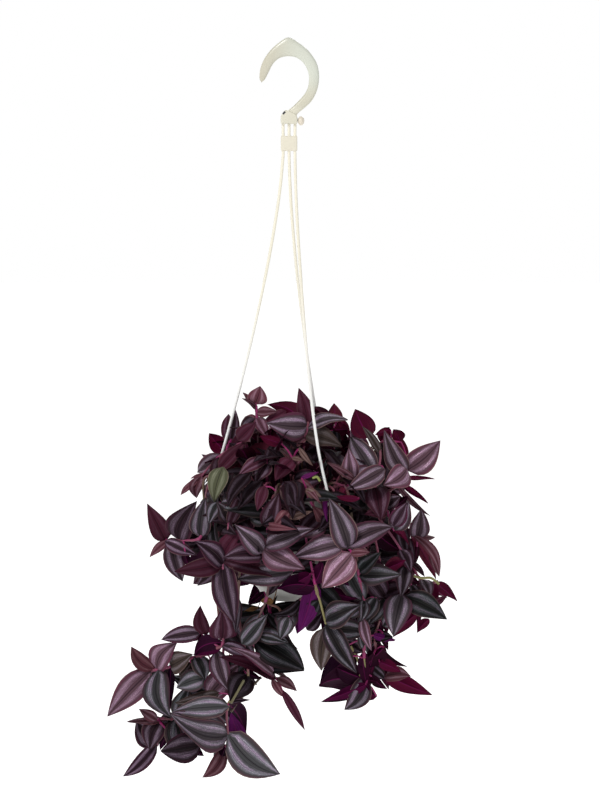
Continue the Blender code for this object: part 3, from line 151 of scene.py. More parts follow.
# ---------------------------------------------------------------- meshes
class Skin:
    """A closed skin over rings of points: rings is (rows, around, 3). paint is
    its place in the piece's list of paints."""

    def __init__(self, rings, uv=None, tone=(0,) * 8, paint=0):
        rows, around = rings.shape[:2]
        self.points = rings.reshape(-1, 3)
        row, column = np.meshgrid(np.arange(rows - 1), np.arange(around), indexing="ij")
        near, far = row * around, (row + 1) * around
        nxt = (column + 1) % around
        self.quads = np.stack([near + column, near + nxt, far + nxt, far + column],
                              -1).reshape(-1, 4)
        self.caps = [np.arange(around)[::-1], np.arange(around) + (rows - 1) * around]
        paint = np.broadcast_to(paint, (rows - 1, around)).reshape(-1)
        self.paint = np.concatenate([paint, paint[[0, -1]]])
        if uv is None:
            uv = np.stack(np.meshgrid(np.linspace(0, 1, rows), np.linspace(0, 1, around),
                                      indexing="ij")[::-1], -1)
        self.uv = np.asarray(uv, float).reshape(-1, 2)
        self.tone = np.broadcast_to(np.asarray(tone, float), (rows, around, 8)).reshape(-1, 8)
        a, b, c, d = (self.points[self.quads[:, k]] for k in range(4))
        volume = np.einsum("ij,ij->", a, np.cross(b, c)) + np.einsum("ij,ij->", a, np.cross(c, d))
        if volume < 0:
            self.quads = self.quads[:, ::-1]
            self.caps = [cap[::-1] for cap in self.caps]


def linked(name, data):
    obj = bpy.data.objects.new(name, data)
    bpy.context.scene.collection.objects.link(obj)
    return obj


def piece(name, skins, paints, replaced=None, sharp=40.0):
    """One object of the plant out of its skins, riding on the frame. An edge
    that bends by more than sharp degrees is shaded as an edge."""
    first = np.cumsum([0] + [len(s.points) for s in skins])
    quads = np.concatenate([s.quads + n for s, n in zip(skins, first)])
    caps = [cap + n for s, n in zip(skins, first) for cap in s.caps]
    sizes = np.concatenate([np.full(len(quads), 4), [len(cap) for cap in caps]])
    corners = np.concatenate([quads.ravel()] + caps)
    points = np.concatenate([s.points for s in skins]) * MM
    uv = np.concatenate([s.uv for s in skins])
    tone = np.concatenate([s.tone for s in skins])
    side = np.concatenate([s.paint[:len(s.quads)] for s in skins])
    ends = np.concatenate([s.paint[len(s.quads):] for s in skins])
    mesh = bpy.data.meshes.new(name)
    mesh.vertices.add(len(points))
    mesh.vertices.foreach_set("co", points.ravel())
    mesh.loops.add(len(corners))
    mesh.loops.foreach_set("vertex_index", corners)
    mesh.polygons.add(len(sizes))
    mesh.polygons.foreach_set("loop_start", np.cumsum(sizes) - sizes)
    mesh.polygons.foreach_set("material_index", np.concatenate([side, ends]))
    mesh.update(calc_edges=True)
    layer = mesh.uv_layers.new(name="surface")
    layer.data.foreach_set("uv", uv[corners].ravel())
    for title, part in (("tone", tone[:, :4]), ("habit", tone[:, 4:])):
        attribute = mesh.attributes.new(title, "FLOAT_COLOR", "POINT")
        attribute.data.foreach_set("color", part.ravel())
    for paint in paints:
        mesh.materials.append(paint)
    mesh.shade_smooth()
    mesh.set_sharp_from_angle(angle=math.radians(sharp))
    mesh.validate()
    obj = linked(name, mesh)
    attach(obj, "root")
    if replaced:
        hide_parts(*replaced)


def tube(path, radii, sides, **looks):
    """A round tube: at each point of the path a circle, square to the path,
    whose start is carried along without twist."""
    path = np.asarray(path, float)
    ahead = unit(np.gradient(path, axis=0))
    side = unit(np.cross(ahead[0], [0.31, 0.87, 0.38]))
    sides_at = []
    for way in ahead:
        side = unit(side - way * (side @ way))
        sides_at.append(side)
    side = np.array(sides_at)[:, None, :]
    other = np.cross(ahead, side[:, 0])[:, None, :]
    a = turn(sides)[None, :, None]
    radii = np.broadcast_to(np.asarray(radii, float), len(path))[:, None, None]
    return Skin(path[:, None, :] + radii * (np.cos(a) * side + np.sin(a) * other), **looks)


def raised(wave, power):
    """A sine or cosine raised to a power, with its sign kept."""
    return np.sign(wave) * np.abs(wave) ** power


def bar_rings(centres, across, deep, count, square):
    """Rings of a rounded bar: round each centre a superellipse, the cosine and
    sine of the angle raised to the power square, spanned by across and deep."""
    a = turn(count)
    c, s = raised(np.cos(a), square), raised(np.sin(a), square)
    return (centres[:, None, :] + across[:, None, :] * c[None, :, None]
            + deep[:, None, :] * s[None, :, None])


def turned_rings(profile, around=96):
    """Rings of a body of revolution: each (radius, height) of the profile is
    carried round the Z axis."""
    a = turn(around)
    r, z = np.asarray(profile, float).T
    return np.stack([r[:, None] * np.cos(a), r[:, None] * np.sin(a),
                     np.repeat(z[:, None], around, 1)], -1)


# ------------------------------------------------------------- materials
OWN_SHIFT = 57.0                       # how far apart the leaves' noises lie


class Paint:
    """A material with its nodes, and short ways to add to them."""

    def __init__(self, name, rough, **plain):
        self.material = bpy.data.materials.new(name)
        self.material.use_nodes = True
        self.nodes = self.material.node_tree.nodes
        self.links = self.material.node_tree.links
        self.shader = self.nodes["Principled BSDF"]
        self.shader.inputs["Roughness"].default_value = rough
        for key, value in plain.items():
            self.plug(value, self.shader.inputs[key.replace("_", " ")])

    def plug(self, source, socket):
        if isinstance(source, bpy.types.NodeSocket):
            self.links.new(source, socket)
        elif socket.type == "RGBA":
            socket.default_value = (*source, 1.0)[:4]
        else:
            socket.default_value = source

    def add(self, kind, settings=(), **inputs):
        node = self.nodes.new(kind)
        for key, value in dict(settings).items():
            setattr(node, key, value)
        for key, value in inputs.items():
            self.plug(value, node.inputs[key.replace("_", " ")])
        return node.outputs[0]

    def math(self, operation, a, b=0.0, c=0.0, clamp=False):
        node = self.nodes.new("ShaderNodeMath")
        node.operation, node.use_clamp = operation, clamp
        for value, socket in zip((a, b, c), node.inputs):
            self.plug(value, socket)
        return node.outputs[0]

    def times(self, a, b):
        return self.math("MULTIPLY", a, b)

    def times_plus(self, a, b, c):
        return self.math("MULTIPLY_ADD", a, b, c)

    def ramp(self, value, low, high, to_low=0.0, to_high=1.0):
        return self.add("ShaderNodeMapRange", settings={"interpolation_type": "SMOOTHSTEP"},
                        Value=value, From_Min=low, From_Max=high, To_Min=to_low, To_Max=to_high)

    def mix(self, share, a, b):
        node = self.nodes.new("ShaderNodeMix")
        node.data_type = "RGBA"
        for value, k in ((share, 0), (a, 6), (b, 7)):
            self.plug(value, node.inputs[k])
        return node.outputs[2]

    def coats(self, colour, *coats):
        """Coats over a colour, each as (share, its colour)."""
        for share, coat in coats:
            colour = self.mix(share, colour, coat)
        return colour

    def split(self, colour):
        node = self.nodes.new("ShaderNodeSeparateColor")
        self.links.new(colour, node.inputs[0])
        return node.outputs

    def held(self, title):
        """The four numbers of an attribute."""
        node = self.nodes.new("ShaderNodeAttribute")
        node.attribute_name = title
        return [*self.split(node.outputs["Color"])[:3], node.outputs["Alpha"]]

    def spot(self):
        """The object's own coordinates."""
        return self.nodes.new("ShaderNodeTexCoord").outputs["Object"]

    def surface(self):
        """The skin's own coordinates, round and along it."""
        return self.add("ShaderNodeUVMap", settings={"uv_map": "surface"})

    def leaf_place(self):
        """Shares across and along a leaf, and how far from its midrib."""
        u_out, v_out, _ = self.split(self.surface())
        return u_out, v_out, self.math("ABSOLUTE", self.times_plus(u_out, 2.0, -1.0))

    def along_leaf(self, u_out, v_out, own, across, along, detail=3.0, rough=0.55):
        """Noise stretched along a leaf, different on each leaf by its own
        number."""
        shift = self.times(own, OWN_SHIFT)
        where = self.add("ShaderNodeCombineXYZ",
                         X=self.times_plus(u_out, across, shift),
                         Y=self.times_plus(v_out, along, shift), Z=shift)
        return self.noise(where, 1.0, detail, rough)

    def streaks(self, scale, detail):
        """Noise stretched along the skin."""
        where = self.add("ShaderNodeMapping", Vector=self.surface(), Scale=scale)
        return self.noise(where, 1.0, detail)

    def place(self, scale=(1, 1, 1)):
        return self.add("ShaderNodeMapping", Vector=self.spot(), Scale=scale)

    def noise(self, vector, scale, detail=2.0, rough=0.5):
        return self.add("ShaderNodeTexNoise", Vector=vector, Scale=scale, Detail=detail,
                        Roughness=rough)

    def bump(self, height, strength, distance):
        return self.add("ShaderNodeBump", Height=height, Strength=strength, Distance=distance)

    def base(self, colour):
        self.plug(colour, self.shader.inputs["Base Color"])

    def normal(self, socket):
        self.plug(socket, self.shader.inputs["Normal"])

    def roughness(self, socket):
        self.plug(socket, self.shader.inputs["Roughness"])

    def grain(self, scale, strength):
        """Fine grain all over the surface."""
        fine = self.noise(self.place(), scale)
        self.normal(self.bump(fine, strength, 0.0002))
        return fine


def moulded_plastic(name, colour, shade, rough, grain):
    """Moulded plastic: a faint cloudy shift of colour and a fine grain."""
    p = Paint(name, rough)
    cloud = p.noise(p.place((1, 1, 0.5)), 60.0, 3.0)
    p.base(p.mix(p.ramp(cloud, 0.35, 0.7), colour, shade))
    p.roughness(p.ramp(p.grain(grain, 0.12), 0.3, 0.7, rough - 0.05, rough + 0.08))
    return p.material


def hook_plastic():
    """Pale hook with painted light and shade: painted shade makes it warm and darker at its tip
    and low inner side, painted light makes it cool and pale at its upper right and creamy and
    pale at its head, and painted shade darkens the slot of its latch."""
    p = Paint("hook_plastic", 0.30)
    cloud = p.noise(p.place(), 45.0, 3.0)
    x, _, z = p.split(p.spot())
    # Mask of the latch's slot, where painted shade stands for its shadowed recess
    across = p.math("ABSOLUTE", p.math("SUBTRACT", p.math("SUBTRACT", x, z), 0.0510))
    along = p.math("ABSOLUTE", p.math("ADD", p.math("ADD", x, z), 0.0610))
    slot = p.times(p.ramp(across, 0.0010, 0.0018, 1.0, 0.0),
                   p.ramp(along, 0.0020, 0.0030, 1.0, 0.0))
    # Painted light and shade over the plastic: darker and warm to the left and low, paler and cool
    # to the upper right, paler on the head, near black in the slot; the cloud is the plastic's own
    p.base(p.coats(
        p.mix(p.ramp(x, -0.030, 0.020), (0.485, 0.455, 0.360), (0.540, 0.565, 0.495)),
        (p.ramp(z, -0.045, -0.015, 1.0, 0.0), (0.530, 0.510, 0.410)),
        (p.ramp(z, -0.056, -0.047, 1.0, 0.0), (0.610, 0.585, 0.480)),
        (p.ramp(cloud, 0.3, 0.7, 0.0, 0.35), (0.580, 0.570, 0.480)),
        (slot, (0.030, 0.030, 0.035))))
    return p.material


def strand_plastic():
    """Cream plastic, paler towards the pot."""
    p = Paint("strand_plastic", 0.4)
    _, _, z = p.split(p.spot())
    p.base(p.mix(p.ramp(z, -0.38, -0.20, 1.0, 0.0), (0.740, 0.700, 0.580), (0.820, 0.820, 0.810)))
    p.grain(700.0, 0.12)
    return p.material


def leaf_upper():
    """Upper side of a leaf: two streaked silver bands beside a dark midrib
    zone, wine margins, fine veins that run with the outline and bright specks,
    the specks partly the silver's own speckle and partly painted glints. tone
    holds how green, young, light and olive a leaf is, light being its painted
    light and shade, and habit how strong its bands are, how wine red it is, how
    pale its edge is, the pale edge partly the leaf's own and partly a painted
    highlight, and a number of its own. A strong, light leaf has paler middle
    zones too, a painted sheen, and the midrib's crease carries painted shade."""
    p = Paint("leaf_upper", 0.4, Specular_IOR_Level=0.05)
    u_out, v_out, across = p.leaf_place()
    green, young, light, olive = p.held("tone")
    strong, wine, pale, own = p.held("habit")
    broad = p.along_leaf(u_out, v_out, own, 9.0, 2.4)
    streak = p.along_leaf(u_out, v_out, own, 34.0, 2.0, 4.0, 0.65)
    # Bright specks: partly the silver's own speckle, partly painted glints
    speck_and_glint = p.along_leaf(u_out, v_out, own, 80.0, 60.0, 1.0)
    wander = p.times_plus(broad, 0.34, p.math("SUBTRACT", across, 0.17))
    ends = p.times(p.ramp(v_out, 0.0, 0.16, 0.2, 1.0), p.ramp(v_out, 0.86, 1.0, 1.0, 0.3))
    band = p.times(p.times(p.ramp(wander, 0.22, 0.42), p.ramp(wander, 0.52, 0.76, 1.0, 0.0)), ends)
    band = p.times(band, p.ramp(streak, 0.32, 0.62, 0.25, 1.0))
    band = p.math("MULTIPLY", band, strong, clamp=True)
    veins = p.math("SINE", p.times_plus(across, 52.0, p.times(broad, 3.0)))
    line = p.ramp(veins, 0.45, 1.0)
    # Near-black line at the midrib: painted shade in its crease, also sunk by the bump
    rib = p.ramp(across, 0.012, 0.045, 1.0, 0.0)
    # Painted sheen: paler middle zones on strong, light leaves
    painted_sheen = p.times(p.ramp(strong, 0.78, 1.0), p.ramp(light, 0.45, 0.78, 0.0, 0.6))
    dark = p.coats(
        p.mix(green, (0.021, 0.0065, 0.015), (0.010, 0.014, 0.014)),
        (p.times(p.ramp(broad, 0.4, 0.7), 0.5), (0.028, 0.021, 0.017)),
        (painted_sheen, p.mix(green, (0.070, 0.050, 0.062), (0.048, 0.058, 0.058))))
    silver = p.coats(
        p.mix(green, (0.218, 0.134, 0.205), (0.146, 0.184, 0.200)),
        (p.ramp(broad, 0.44, 0.56, 0.0, 0.55), (0.235, 0.130, 0.245)),
        (p.ramp(speck_and_glint, 0.48, 0.66, 0.0, 0.6), (0.56, 0.46, 0.55)))
    margin = p.mix(green, (0.066, 0.008, 0.032), (0.038, 0.024, 0.028))
    fresh = p.times_plus(band, 0.6, p.times(line, 0.25))
    # Pale edge line: partly the leaf's own pale rim, partly a painted highlight
    pale_edge_and_highlight = p.times(p.ramp(across, 0.90, 0.99), p.times(pale, 0.7))
    colour = p.coats(
        p.mix(band, dark, silver),
        (p.times(line, 0.28), p.mix(green, (0.130, 0.062, 0.100), (0.085, 0.095, 0.085))),
        (p.ramp(wander, 0.70, 0.98, 0.0, 0.9), margin),
        (wine, p.mix(p.times(band, 0.5), (0.058, 0.008, 0.022), (0.150, 0.055, 0.100))),
        (young, p.mix(fresh, (0.085, 0.022, 0.032), (0.230, 0.115, 0.125))),
        (p.times(olive, 0.9), p.mix(band, (0.052, 0.058, 0.032), (0.124, 0.136, 0.084))),
        (pale_edge_and_highlight, (0.230, 0.170, 0.140)),
        (p.times(rib, 0.8), (0.008, 0.004, 0.007)))
    # Painted light and shade: the colour scaled by the leaf's light
    p.base(p.add("ShaderNodeVectorMath", settings={"operation": "SCALE"}, Vector=colour,
                 Scale=p.times_plus(light, 1.5, 0.10)))
    p.roughness(p.ramp(band, 0.0, 1.0, 0.42, 0.30))
    p.plug(p.times(band, 0.3), p.shader.inputs["Metallic"])
    ridge = p.times_plus(rib, -2.0, p.times(veins, 0.6))
    p.normal(p.bump(p.times_plus(streak, 2.0, ridge), 0.45, 0.0004))
    return p.material


def leaf_under():
    """Underside of a leaf: deep wine, lighter or darker by its light as painted
    light and shade, crimson high up, where painted light stands for the glow
    through backlit leaves, and crimson at the right, violet where its tone is
    olive, with fine veins."""
    p = Paint("leaf_under", 0.45, Specular_IOR_Level=0.04)
    u_out, v_out, across = p.leaf_place()
    _, young, light, olive = p.held("tone")
    _, red_and_backlight, _, own = p.held("habit")
    streak = p.along_leaf(u_out, v_out, own, 22.0, 2.0)
    x, _, z = p.split(p.spot())
    # Painted backlight: crimson high up, as light glows through the leaves
    red_and_backlight = p.math("MAXIMUM", red_and_backlight, p.ramp(z, -0.50, -0.43, 0.0, 0.8))
    red_and_backlight = p.math("MAXIMUM", red_and_backlight, p.ramp(x, 0.06, 0.11, 0.0, 0.7))
    # Painted light and shade: the wine lighter or darker by the leaf's light
    p.base(p.coats(
        p.mix(light, (0.008, 0.001, 0.007), (0.070, 0.001, 0.036)),
        (red_and_backlight, p.mix(light, (0.016, 0.001, 0.004), (0.100, 0.002, 0.017))),
        (olive, (0.100, 0.008, 0.090)),
        (p.times(young, 0.6), (0.170, 0.030, 0.050)),
        (p.ramp(streak, 0.3, 0.75, 0.0, 0.5), (0.016, 0.001, 0.014)),
        (p.ramp(across, 0.02, 0.08, 0.6, 0.0), (0.13, 0.006, 0.070))))
    p.normal(p.bump(p.math("SINE", p.times(across, 40.0)), 0.3, 0.0003))
    return p.material


def stem_skin():
    """Juicy stem: pale green to magenta to grey brown by its tone, streaked
    along its length and spotted."""
    p = Paint("stem_skin", 0.38, Specular_IOR_Level=0.25)
    green, pink, _, _ = p.held("tone")
    streak = p.streaks((9.0, 3.0, 1.0), 3.0)
    p.base(p.coats(
        p.mix(streak, (0.040, 0.020, 0.020), (0.110, 0.070, 0.065)),
        (green, p.mix(streak, (0.120, 0.150, 0.030), (0.300, 0.320, 0.110))),
        (pink, p.mix(streak, (0.160, 0.008, 0.065), (0.420, 0.030, 0.190)))))
    p.grain(1500.0, 0.15)
    return p.material


def potting_mix():
    """Dark peat: brown crumbs with paler fibres."""
    p = Paint("potting_mix", 0.95)
    where = p.place()
    crumb = p.add("ShaderNodeTexVoronoi", Vector=where, Scale=420.0)
    cloud = p.noise(where, 160.0, 5.0, 0.65)
    p.base(p.coats(
        p.mix(cloud, (0.022, 0.013, 0.008), (0.120, 0.070, 0.042)),
        (p.ramp(crumb, 0.0, 0.35, 0.6, 0.0), (0.075, 0.045, 0.030))))
    p.normal(p.bump(p.math("ADD", cloud, crumb), 0.8, 0.0015))
    return p.material


def dead_leaf():
    """Dry leaf: ochre to brown, streaked along."""
    p = Paint("dead_leaf", 0.8)
    streak = p.streaks((16.0, 2.5, 1.0), 4.0)
    p.base(p.mix(p.ramp(streak, 0.3, 0.7), (0.100, 0.042, 0.012), (0.270, 0.130, 0.035)))
    p.normal(p.bump(streak, 0.6, 0.0006))
    return p.material


HOOK_PLASTIC = hook_plastic()
STRAND_PLASTIC = strand_plastic()
CLIP_PLASTIC = moulded_plastic("clip_plastic", (0.66, 0.62, 0.51), (0.62, 0.58, 0.47), 0.4, 700.0)
PIN_PLASTIC = moulded_plastic("pin_plastic", (0.66, 0.60, 0.50), (0.60, 0.54, 0.44), 0.45, 700.0)
# The white pot is painted a warm grey: painted shade, as it shows only in the shade of the leaves
POT_PLASTIC = moulded_plastic("pot_plastic", (0.42, 0.41, 0.39), (0.37, 0.36, 0.34), 0.42, 500.0)
LEAFY_PAINTS = [leaf_upper(), leaf_under(), stem_skin()]
UPPER_PAINT, UNDER_PAINT, STEM_PAINT = 0, 1, 2                 # their places in this list
POTTING_MIX, DEAD_LEAF = potting_mix(), dead_leaf()


def foliage(name, skins, replaced=None):
    """A leafy piece."""
    piece(name, skins, LEAFY_PAINTS, replaced, sharp=48.0)


def stem_tone(green, pink, light):
    """A stem's tone and habit; its skin reads only the tone."""
    return (green, pink, light, 0, 0, 0, 0, 0)


# ---------------------------------------------------------------- hanger
# Hook from its tip to its head: x and z of the outer, x and z of the inner edge
HOOK_STATIONS = [
    (-28.2, -26.4, -26.6, -25.4), (-29.6, -20.5, -23.8, -22.3), (-28.6, -12.0, -20.2, -15.5),
    (-25.0, -3.0, -16.4, -8.2), (-18.5, 6.0, -11.2, -2.9), (-10.0, 13.6, -6.0, -0.7),
    (-0.6, 18.7, -0.4, 0.0), (8.6, 14.2, 6.4, -1.0), (17.4, 7.6, 12.6, -4.8),
    (24.4, -0.8, 17.2, -11.0), (28.9, -10.0, 19.8, -19.0), (30.2, -22.0, 19.4, -28.4),
    (28.0, -34.0, 16.4, -36.0), (22.5, -44.5, 10.6, -43.0), (14.5, -52.0, 4.2, -49.4),
    (8.6, -57.0, -1.0, -54.0), (7.0, -61.5, -3.0, -60.5),
]
HOOK_STEPS = 6                         # rings from one station to the next
# Head of the hook, seen from the front, (x, z)
HEAD_OUTLINE = [(-HEAD_SIDE, HEAD_BOTTOM), (HEAD_SIDE, HEAD_BOTTOM), (HEAD_SIDE, -60.4),
                (6.8, -57.4), (-1.6, -53.0), (-5.0, -53.8), (-HEAD_SIDE, -59.4)]


def head_skin():
    """Head: its outline with each corner a quadratic curve, carried through the
    depth in rings that a quarter circle draws in at the front and back."""
    p = np.array(HEAD_OUTLINE)
    back, on = unit(np.roll(p, 1, axis=0) - p), unit(np.roll(p, -1, axis=0) - p)
    t = np.linspace(0, 1, 6)[None, :, None]
    curve = (p[:, None] + HEAD_CORNER * (back[:, None] * (1 - t) ** 2 + on[:, None] * t ** 2))
    x, z = curve.reshape(-1, 2).T
    a = np.linspace(0, math.pi / 2, 6)
    deep = HEAD_DEEP / 2 - HEAD_EDGE * (1 - np.sin(a))
    drawn = 1 - HEAD_EDGE * (1 - np.cos(a)) / HEAD_SIDE
    y = np.concatenate([-deep[::-1], deep])[:, None] + 0 * x
    drawn = np.concatenate([drawn[::-1], drawn])[:, None]
    middle = (HEAD_BOTTOM + z.max()) / 2
    return Skin(np.stack([drawn * x, y, middle + drawn * (z - middle)], -1))


def build_hook():
    """The hook's bar is a rounded section between its outer and inner edge
    curves; its head is a rounded block round the strands' tops."""
    edges = catmull(HOOK_STATIONS, HOOK_STEPS)
    flat = np.zeros(len(edges))
    outer = np.stack([edges[:, 0], flat, edges[:, 1]], -1)
    inner = np.stack([edges[:, 2], flat, edges[:, 3]], -1)
    station = np.arange(len(edges)) / HOOK_STEPS
    deep = HOOK_DEEP / 2 * np.minimum(1.0, 0.45 + 0.24 * station)
    grow = np.sqrt(np.clip(station / 0.5, 0.02, 1.0))
    middle, half = (outer + inner) / 2, (outer - inner) / 2
    bar = Skin(bar_rings(middle, half * grow[:, None],
                         np.stack([flat, deep * grow, flat], -1), 24, 0.72))
    piece("hook_moulding", [bar, head_skin()], [HOOK_PLASTIC], ["hook"], sharp=60.0)


def block(size, bevel):
    """Rounded block: rings up its height, each drawn in by a quarter circle
    near the ends."""
    low, high, wide, deep = size
    t = np.linspace(0, math.pi / 2, 6)
    drawn = bevel * (1 - np.sin(t))
    z = np.concatenate([low + bevel * (1 - np.cos(t)), [(low + high) / 2],
                        (high - bevel * (1 - np.cos(t)))[::-1]])
    drawn = np.concatenate([drawn, [0.0], drawn[::-1]])
    flat = np.zeros(len(z))
    return Skin(bar_rings(np.stack([flat, flat, z], -1),
                          np.stack([wide - drawn, flat, flat], -1),
                          np.stack([flat, deep - drawn, flat], -1), 32, 0.35))


def build_pin():
    """Stud and round knob: circles along X."""
    t = np.linspace(0, math.pi, 13)
    half = KNOB_RADIUS * KNOB_FLAT
    x = np.concatenate([[HEAD_SIDE - 2.0, HEAD_SIDE + 0.2],
                        HEAD_SIDE + 0.3 + half * (1 - np.cos(t))])[:, None]
    r = np.concatenate([[STUD_RADIUS] * 2, np.maximum(KNOB_RADIUS * np.sin(t), 0.3)])[:, None]
    z = np.array([PIN_HEIGHT] * 2 + [KNOB_HEIGHT] * len(t))[:, None]
    a = turn(20)
    rings = np.stack([x + 0 * a, r * np.cos(a), z + r * np.sin(a)], -1)
    piece("hook_pin", [Skin(rings)], [PIN_PLASTIC], ["pin"], sharp=60.0)


def build_strand(side, slot):
    """A strand runs down through the clip and out to its lug in one slack
    curve, and ends in a barb under the lug. The front one bows to the left
    too, by the fourth power of its share t of the way times what is left."""
    x = slot * STRAND_PITCH
    end = outward(math.radians(STRAND_ANGLES[side]))[0] * STRAND_RING + RISE * RIM_TOP
    low = np.array([x, 0.0, CLIP[0] - 4])
    t = np.arange(1, 10)[:, None] / 9
    way = end - low + [0, 0, 6]
    run = low + np.hstack([way[:2] * t ** STRAND_SLACK[side], way[2] * t])
    if side == "front":
        run[:, 0] += FRONT_BOW * BOW_SCALE * t[:, 0] ** 4 * (1 - t[:, 0])
    top = [[x, 0, STRAND_TOP], [x, 0, CLIP[1] + 2], low]
    path = catmull(np.vstack([top, run]), 4)
    path = np.vstack([path, [[end[0], end[1], LUG_UNDER - down] for down, _ in BARB]])
    radii = [STRAND_RADIUS] * (len(path) - len(BARB)) + [r for _, r in BARB]
    piece("hanger_strand_" + side, [tube(path, radii, 14)], [STRAND_PLASTIC],
          ["strand_" + side])


# ------------------------------------------------------------------- pot
# Pot wall: (share of the height, share of the way from foot to rim)
BOWL = [(0.0, 0.0), (0.08, 0.10), (0.18, 0.36), (0.32, 0.62), (0.52, 0.83), (0.75, 0.95),
        (0.93, 0.99)]
# Rolled lip: beyond the rim's radius, below its top
LIP = [(0.6, 6.6), (2.1, 6.0), (2.4, 4.6), (2.4, 1.6), (1.8, 0.4), (0.6, 0.0), (-0.9, 0.1),
       (-1.8, 0.9)]
# Lug: share of its outline, below the rim's top
LUG = [(0.94, 4.1), (1.0, 3.6), (1.0, 1.1), (0.94, 0.6)]
LUG_OUT, LUG_LONG, LUG_WIDE = 5.0, 6.8, 6.6    # middle beyond the rim, half sizes
BEAD_RING, BEAD_RADIUS = 2.5, 0.7


def build_pot():
    """Thin bowl: its profile, with a rolled lip and a foot ring, is carried
    round the axis. Each lug is a rounded plate with a bead round its hole."""
    wall = catmull(BOWL, 5)
    outer = np.stack([FOOT_RADIUS + (RIM_RADIUS - FOOT_RADIUS) * wall[:, 1],
                      POT_BASE + POT_HEIGHT * wall[:, 0]], -1)
    lip = [(RIM_RADIUS + beyond, RIM_TOP - below) for beyond, below in LIP]
    inner = outer[::-1] + [-WALL, 0.0]
    inner = inner[inner[:, 1] > POT_BASE + 12]
    foot = [(0.4, POT_BASE + 1.2), (FOOT_RADIUS - 5, POT_BASE + 1.2), (FOOT_RADIUS - 4, POT_BASE)]
    floor = [(FOOT_RADIUS - WALL, POT_BASE + 3), (0.4, POT_BASE + 3)]
    skins = [Skin(turned_rings(np.vstack([foot, outer, lip, inner, floor])))]
    t, u = turn(28), turn(10)
    for angle in STRAND_ANGLES.values():
        out, side = outward(math.radians(angle))
        reach = RIM_RADIUS + LUG_OUT + LUG_LONG * raised(np.cos(t), 0.6)
        wide = LUG_WIDE * raised(np.sin(t), 0.7)
        ring = out * reach[:, None] + side * wide[:, None]
        centre = out * (RIM_RADIUS + LUG_OUT)
        skins.append(Skin(np.array([centre + (ring - centre) * grow + [0, 0, RIM_TOP - below]
                                    for grow, below in LUG])))
        bead = out * STRAND_RING + [0, 0, RIM_TOP - 0.5]
        circle = bead + BEAD_RING * (np.cos(t)[:, None] * out + np.sin(t)[:, None] * side)
        spoke = unit(circle - bead)
        tail = circle[:, None] + BEAD_RADIUS * (np.cos(u)[None, :, None] * spoke[:, None]
                                                + np.sin(u)[None, :, None] * RISE)
        skins.append(Skin(np.concatenate([tail, tail[:1]])))
    piece("pot_bowl", skins, [POT_PLASTIC], ["pot"], sharp=50.0)


def build_soil():
    """Heap of potting mix: a domed disc whose height at each point is a sum of
    sines of its place, closed by the bowl's own wall below."""
    share = np.linspace(1.0, 0.005, 26)
    under = [(0.4, POT_BASE + 3.4), (FOOT_RADIUS - WALL - 0.5, POT_BASE + 3.4),
             (39.0, POT_BASE + 21.0), (52.0, POT_BASE + 41.0), (62.0, POT_BASE + 70.0)]
    top = np.stack([SOIL_RADIUS * share, np.full(len(share), SOIL_TOP)], -1)
    rings = turned_rings(np.vstack([under, top]), 120)
    x, y = rings[len(under):, :, 0], rings[len(under):, :, 1]
    lumps = (np.sin(x * 0.41 + 1.7 * np.sin(y * 0.23)) + np.sin(y * 0.52 + 2.1 * np.sin(x * 0.31))
             + 0.7 * np.sin(x * 1.3 + y * 0.9) * np.sin(y * 1.7 - x * 0.6) + 0.5 * wobble(x, y))
    fade = np.clip((1 - share) * 8, 0, 1)[:, None]
    rings[len(under):, :, 2] += SOIL_DOME * (1 - share[:, None] ** 2) + 0.8 * lumps * fade
    piece("potting_mix_heap", [Skin(rings)], [POTTING_MIX], ["soil"], sharp=70.0)


